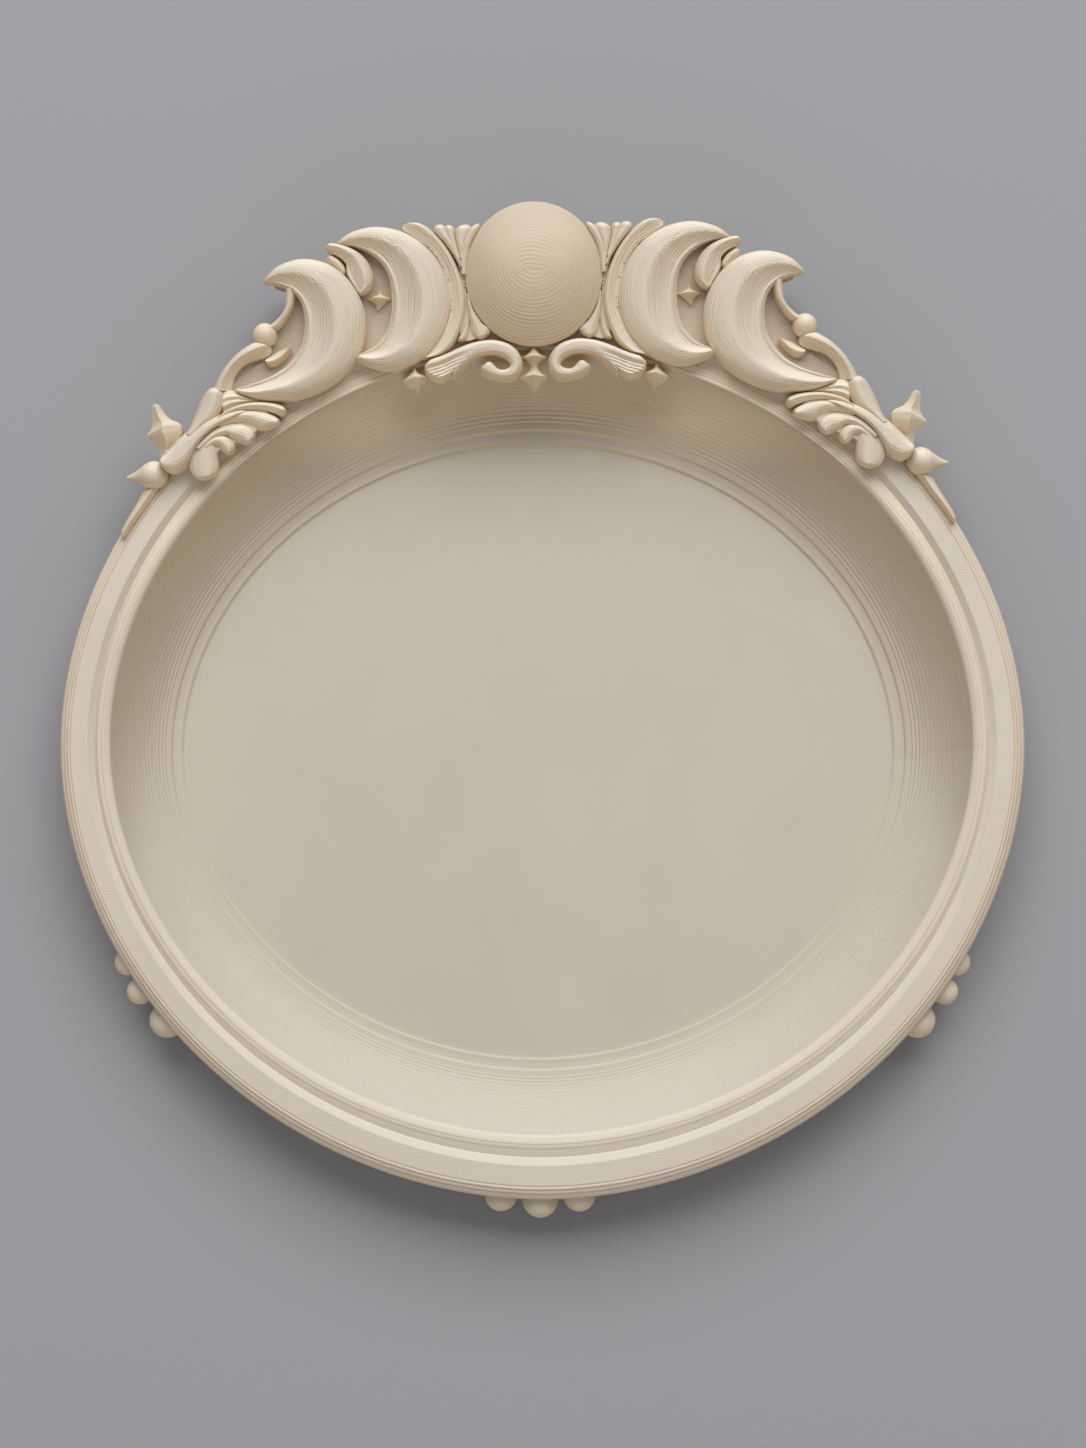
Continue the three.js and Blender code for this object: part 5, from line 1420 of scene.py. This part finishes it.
class TRAY_OT_acanthus(bpy.types.Operator):
    """Build the acanthus stems and leaves, the buds and the tail leaves."""
    bl_idname = "tray.acanthus"
    bl_label = "Acanthus"

    def execute(self, context):
        for side, sign in SIDES:
            add_strip(f"acanthus_stem_{side}", ACANTHUS_STEM, leaning(0.68, 1.9), wall=2.4,
                      crown=2.8, closes=(0.06, 0.12), sign=sign, rows=130, across=34)
            leaves = [carved_strip(rails, leaning(*shape), wall, crown=1.6, closes=(0, 0.14),
                                   sign=sign, rows=80, across=32)
                      for rails, (wall, *shape) in zip(ACANTHUS_LEAVES, ACANTHUS_CROWNS)]
            add_piece(f"acanthus_leaves_{side}", [*leaves, slab(LEAF_BED, 3.3, sign)])
            add_strip(f"bud_{side}", BUD, leaning(0.6, 2.0), wall=1.6, crown=3.0,
                      closes=(0, 0.26), sign=sign, rows=72, across=32)
            add_strip(f"tail_leaf_{side}", TAIL_LEAF, fluted(3, 0.2), wall=1.6, crown=1.8,
                      closes=(0, 0.1), sign=sign, across=40)
        return {'FINISHED'}


class TRAY_OT_finials(bpy.types.Operator):
    """Build the spikes, teardrops and quills at the ends of the crest."""
    bl_idname = "tray.finials"
    bl_label = "Finials"

    def execute(self, context):
        top = context.scene.crest_sizes.plate_top / MM
        for side, sign in SIDES:
            cut = dict(finish="Ivory bead", sign=sign)
            add_strip(f"spike_finial_{side}", SPIKE, faceted(7.0), wall=1.2, crown=3.4,
                      closes=(0.05, 0), crease=24, base=top - 3, rows=160, across=20, **cut)
            add_strip(f"teardrop_{side}", TEARDROP, turned(5.9), wall=0.6, crown=3.4,
                      closes=(0.02, 0.1), base=top - 4.5, rows=110, **cut)
            add_strip(f"quill_{side}", QUILL, leaning(0.62, 1.25), wall=0.1, crown=1.8,
                      closes=(0.05, 0.1), crease=24, base=top - 4.5, rows=64, **cut)
        return {'FINISHED'}


# Stage: where the camera aims on the tray, and how far away the key light stands

CAMERA_AIM = (0.1 * MM, 4.7 * MM)
KEY_REACH = 2.2


def add_floor(colour):
    """A matte paper floor that is wide enough to fill the picture."""
    size = 3.0
    corners = [(-size, -size, 0), (size, -size, 0), (size, size, 0), (-size, size, 0)]
    mesh = bpy.data.meshes.new("studio_floor")
    mesh.from_pydata(corners, [], [(0, 1, 2, 3)])
    floor = new_object("studio_floor", mesh)
    paper = bpy.data.materials.new("Grey paper")
    paper.use_nodes = True
    shader = paper.node_tree.nodes["Principled BSDF"]
    shader.inputs["Base Color"].default_value = colour
    shader.inputs["Roughness"].default_value = 0.9
    shader.inputs["Specular IOR Level"].default_value = 0.1
    mesh.materials.append(paper)


def add_camera(height, frame_length):
    """A camera that looks straight down from a height above the rim's edge."""
    camera = bpy.data.cameras.new("picture_camera")
    holder = new_object("picture_camera", camera)
    edge = bpy.context.scene.tray_sizes.height - (BAND_FALL + REED_BAND[1]) * MM
    holder.location = (*CAMERA_AIM, edge + height)
    camera.sensor_fit = 'VERTICAL'
    camera.sensor_height = 24.0
    camera.lens = camera.sensor_height * height / frame_length
    camera.clip_start = 0.01
    camera.clip_end = 20
    bpy.context.scene.camera = holder


def add_lamp(name, place, target, width, length, energy):
    """A rectangular lamp at place that faces the target."""
    light = bpy.data.lights.new(name, 'AREA')
    light.shape = 'RECTANGLE'
    light.size = width
    light.size_y = length
    light.energy = energy
    lamp = new_object(name, light)
    lamp.location = place
    ray = np.array(target) - np.array(place)
    flat = math.hypot(ray[0], ray[1])
    lamp.rotation_euler = (math.atan2(flat, -ray[2]), 0, math.atan2(-ray[0], ray[1]))


class TRAY_OT_stage(bpy.types.Operator):
    """Set up the floor, the lights and the camera."""
    bl_idname = "tray.stage"
    bl_label = "Stage"

    def execute(self, context):
        stage = context.scene.stage_settings
        context.scene.view_settings.view_transform = 'Standard'
        add_floor(stage.floor_colour)
        back, up = KEY_REACH * math.cos(stage.key_rise), KEY_REACH * math.sin(stage.key_rise)
        add_lamp("key_light", place=(0.12, back, up), target=(0, 0.02, 0), width=2.4, length=1.5,
                 energy=stage.key_energy)
        add_lamp("fill_light", place=(0, -1.75, 1.0), target=(0, 0, 0), width=2.4, length=1.4,
                 energy=stage.fill_energy)
        world = bpy.data.worlds.new("studio_sky")
        context.scene.world = world
        world.use_nodes = True
        sky = world.node_tree.nodes["Background"]
        sky.inputs["Color"].default_value = (1, 0.97, 0.93, 1)
        sky.inputs["Strength"].default_value = stage.sky
        add_camera(stage.camera_height, stage.frame_length)
        return {'FINISHED'}


OPERATORS = (
    TRAY_OT_basin, TRAY_OT_rim, TRAY_OT_beads, TRAY_OT_plate, TRAY_OT_full_moon,
    TRAY_OT_crescents, TRAY_OT_halos, TRAY_OT_curls, TRAY_OT_palmettes, TRAY_OT_scrolls,
    TRAY_OT_pendants, TRAY_OT_stems, TRAY_OT_acanthus, TRAY_OT_finials, TRAY_OT_stage)
SETTINGS = (
    ("tray_sizes", TraySizes), ("crest_sizes", CrestSizes), ("print_finish", PrintFinish),
    ("stage_settings", StageSettings))


class VIEW3D_PT_tray(bpy.types.Panel):
    """Sidebar panel that lists the tray's pieces and sizes."""
    bl_label = "Tray"
    bl_idname = "VIEW3D_PT_tray"
    bl_space_type = 'VIEW_3D'
    bl_region_type = 'UI'
    bl_category = "Tray"

    def draw(self, context):
        for name, group in SETTINGS:
            box = self.layout.box()
            for key in group.__annotations__:
                box.prop(getattr(context.scene, name), key)
        for operator in OPERATORS:
            self.layout.operator(operator.bl_idname)


def register():
    for name, group in SETTINGS:
        bpy.utils.register_class(group)
        setattr(bpy.types.Scene, name, PointerProperty(type=group))
    for cls in (*OPERATORS, VIEW3D_PT_tray):
        bpy.utils.register_class(cls)


def unregister():
    for cls in (VIEW3D_PT_tray, *reversed(OPERATORS)):
        bpy.utils.unregister_class(cls)
    for name, group in reversed(SETTINGS):
        delattr(bpy.types.Scene, name)
        bpy.utils.unregister_class(group)


def main():
    register()
    for operator in OPERATORS:
        family, action = operator.bl_idname.split(".")
        getattr(getattr(bpy.ops, family), action)()


if __name__ == "__main__":
    main()
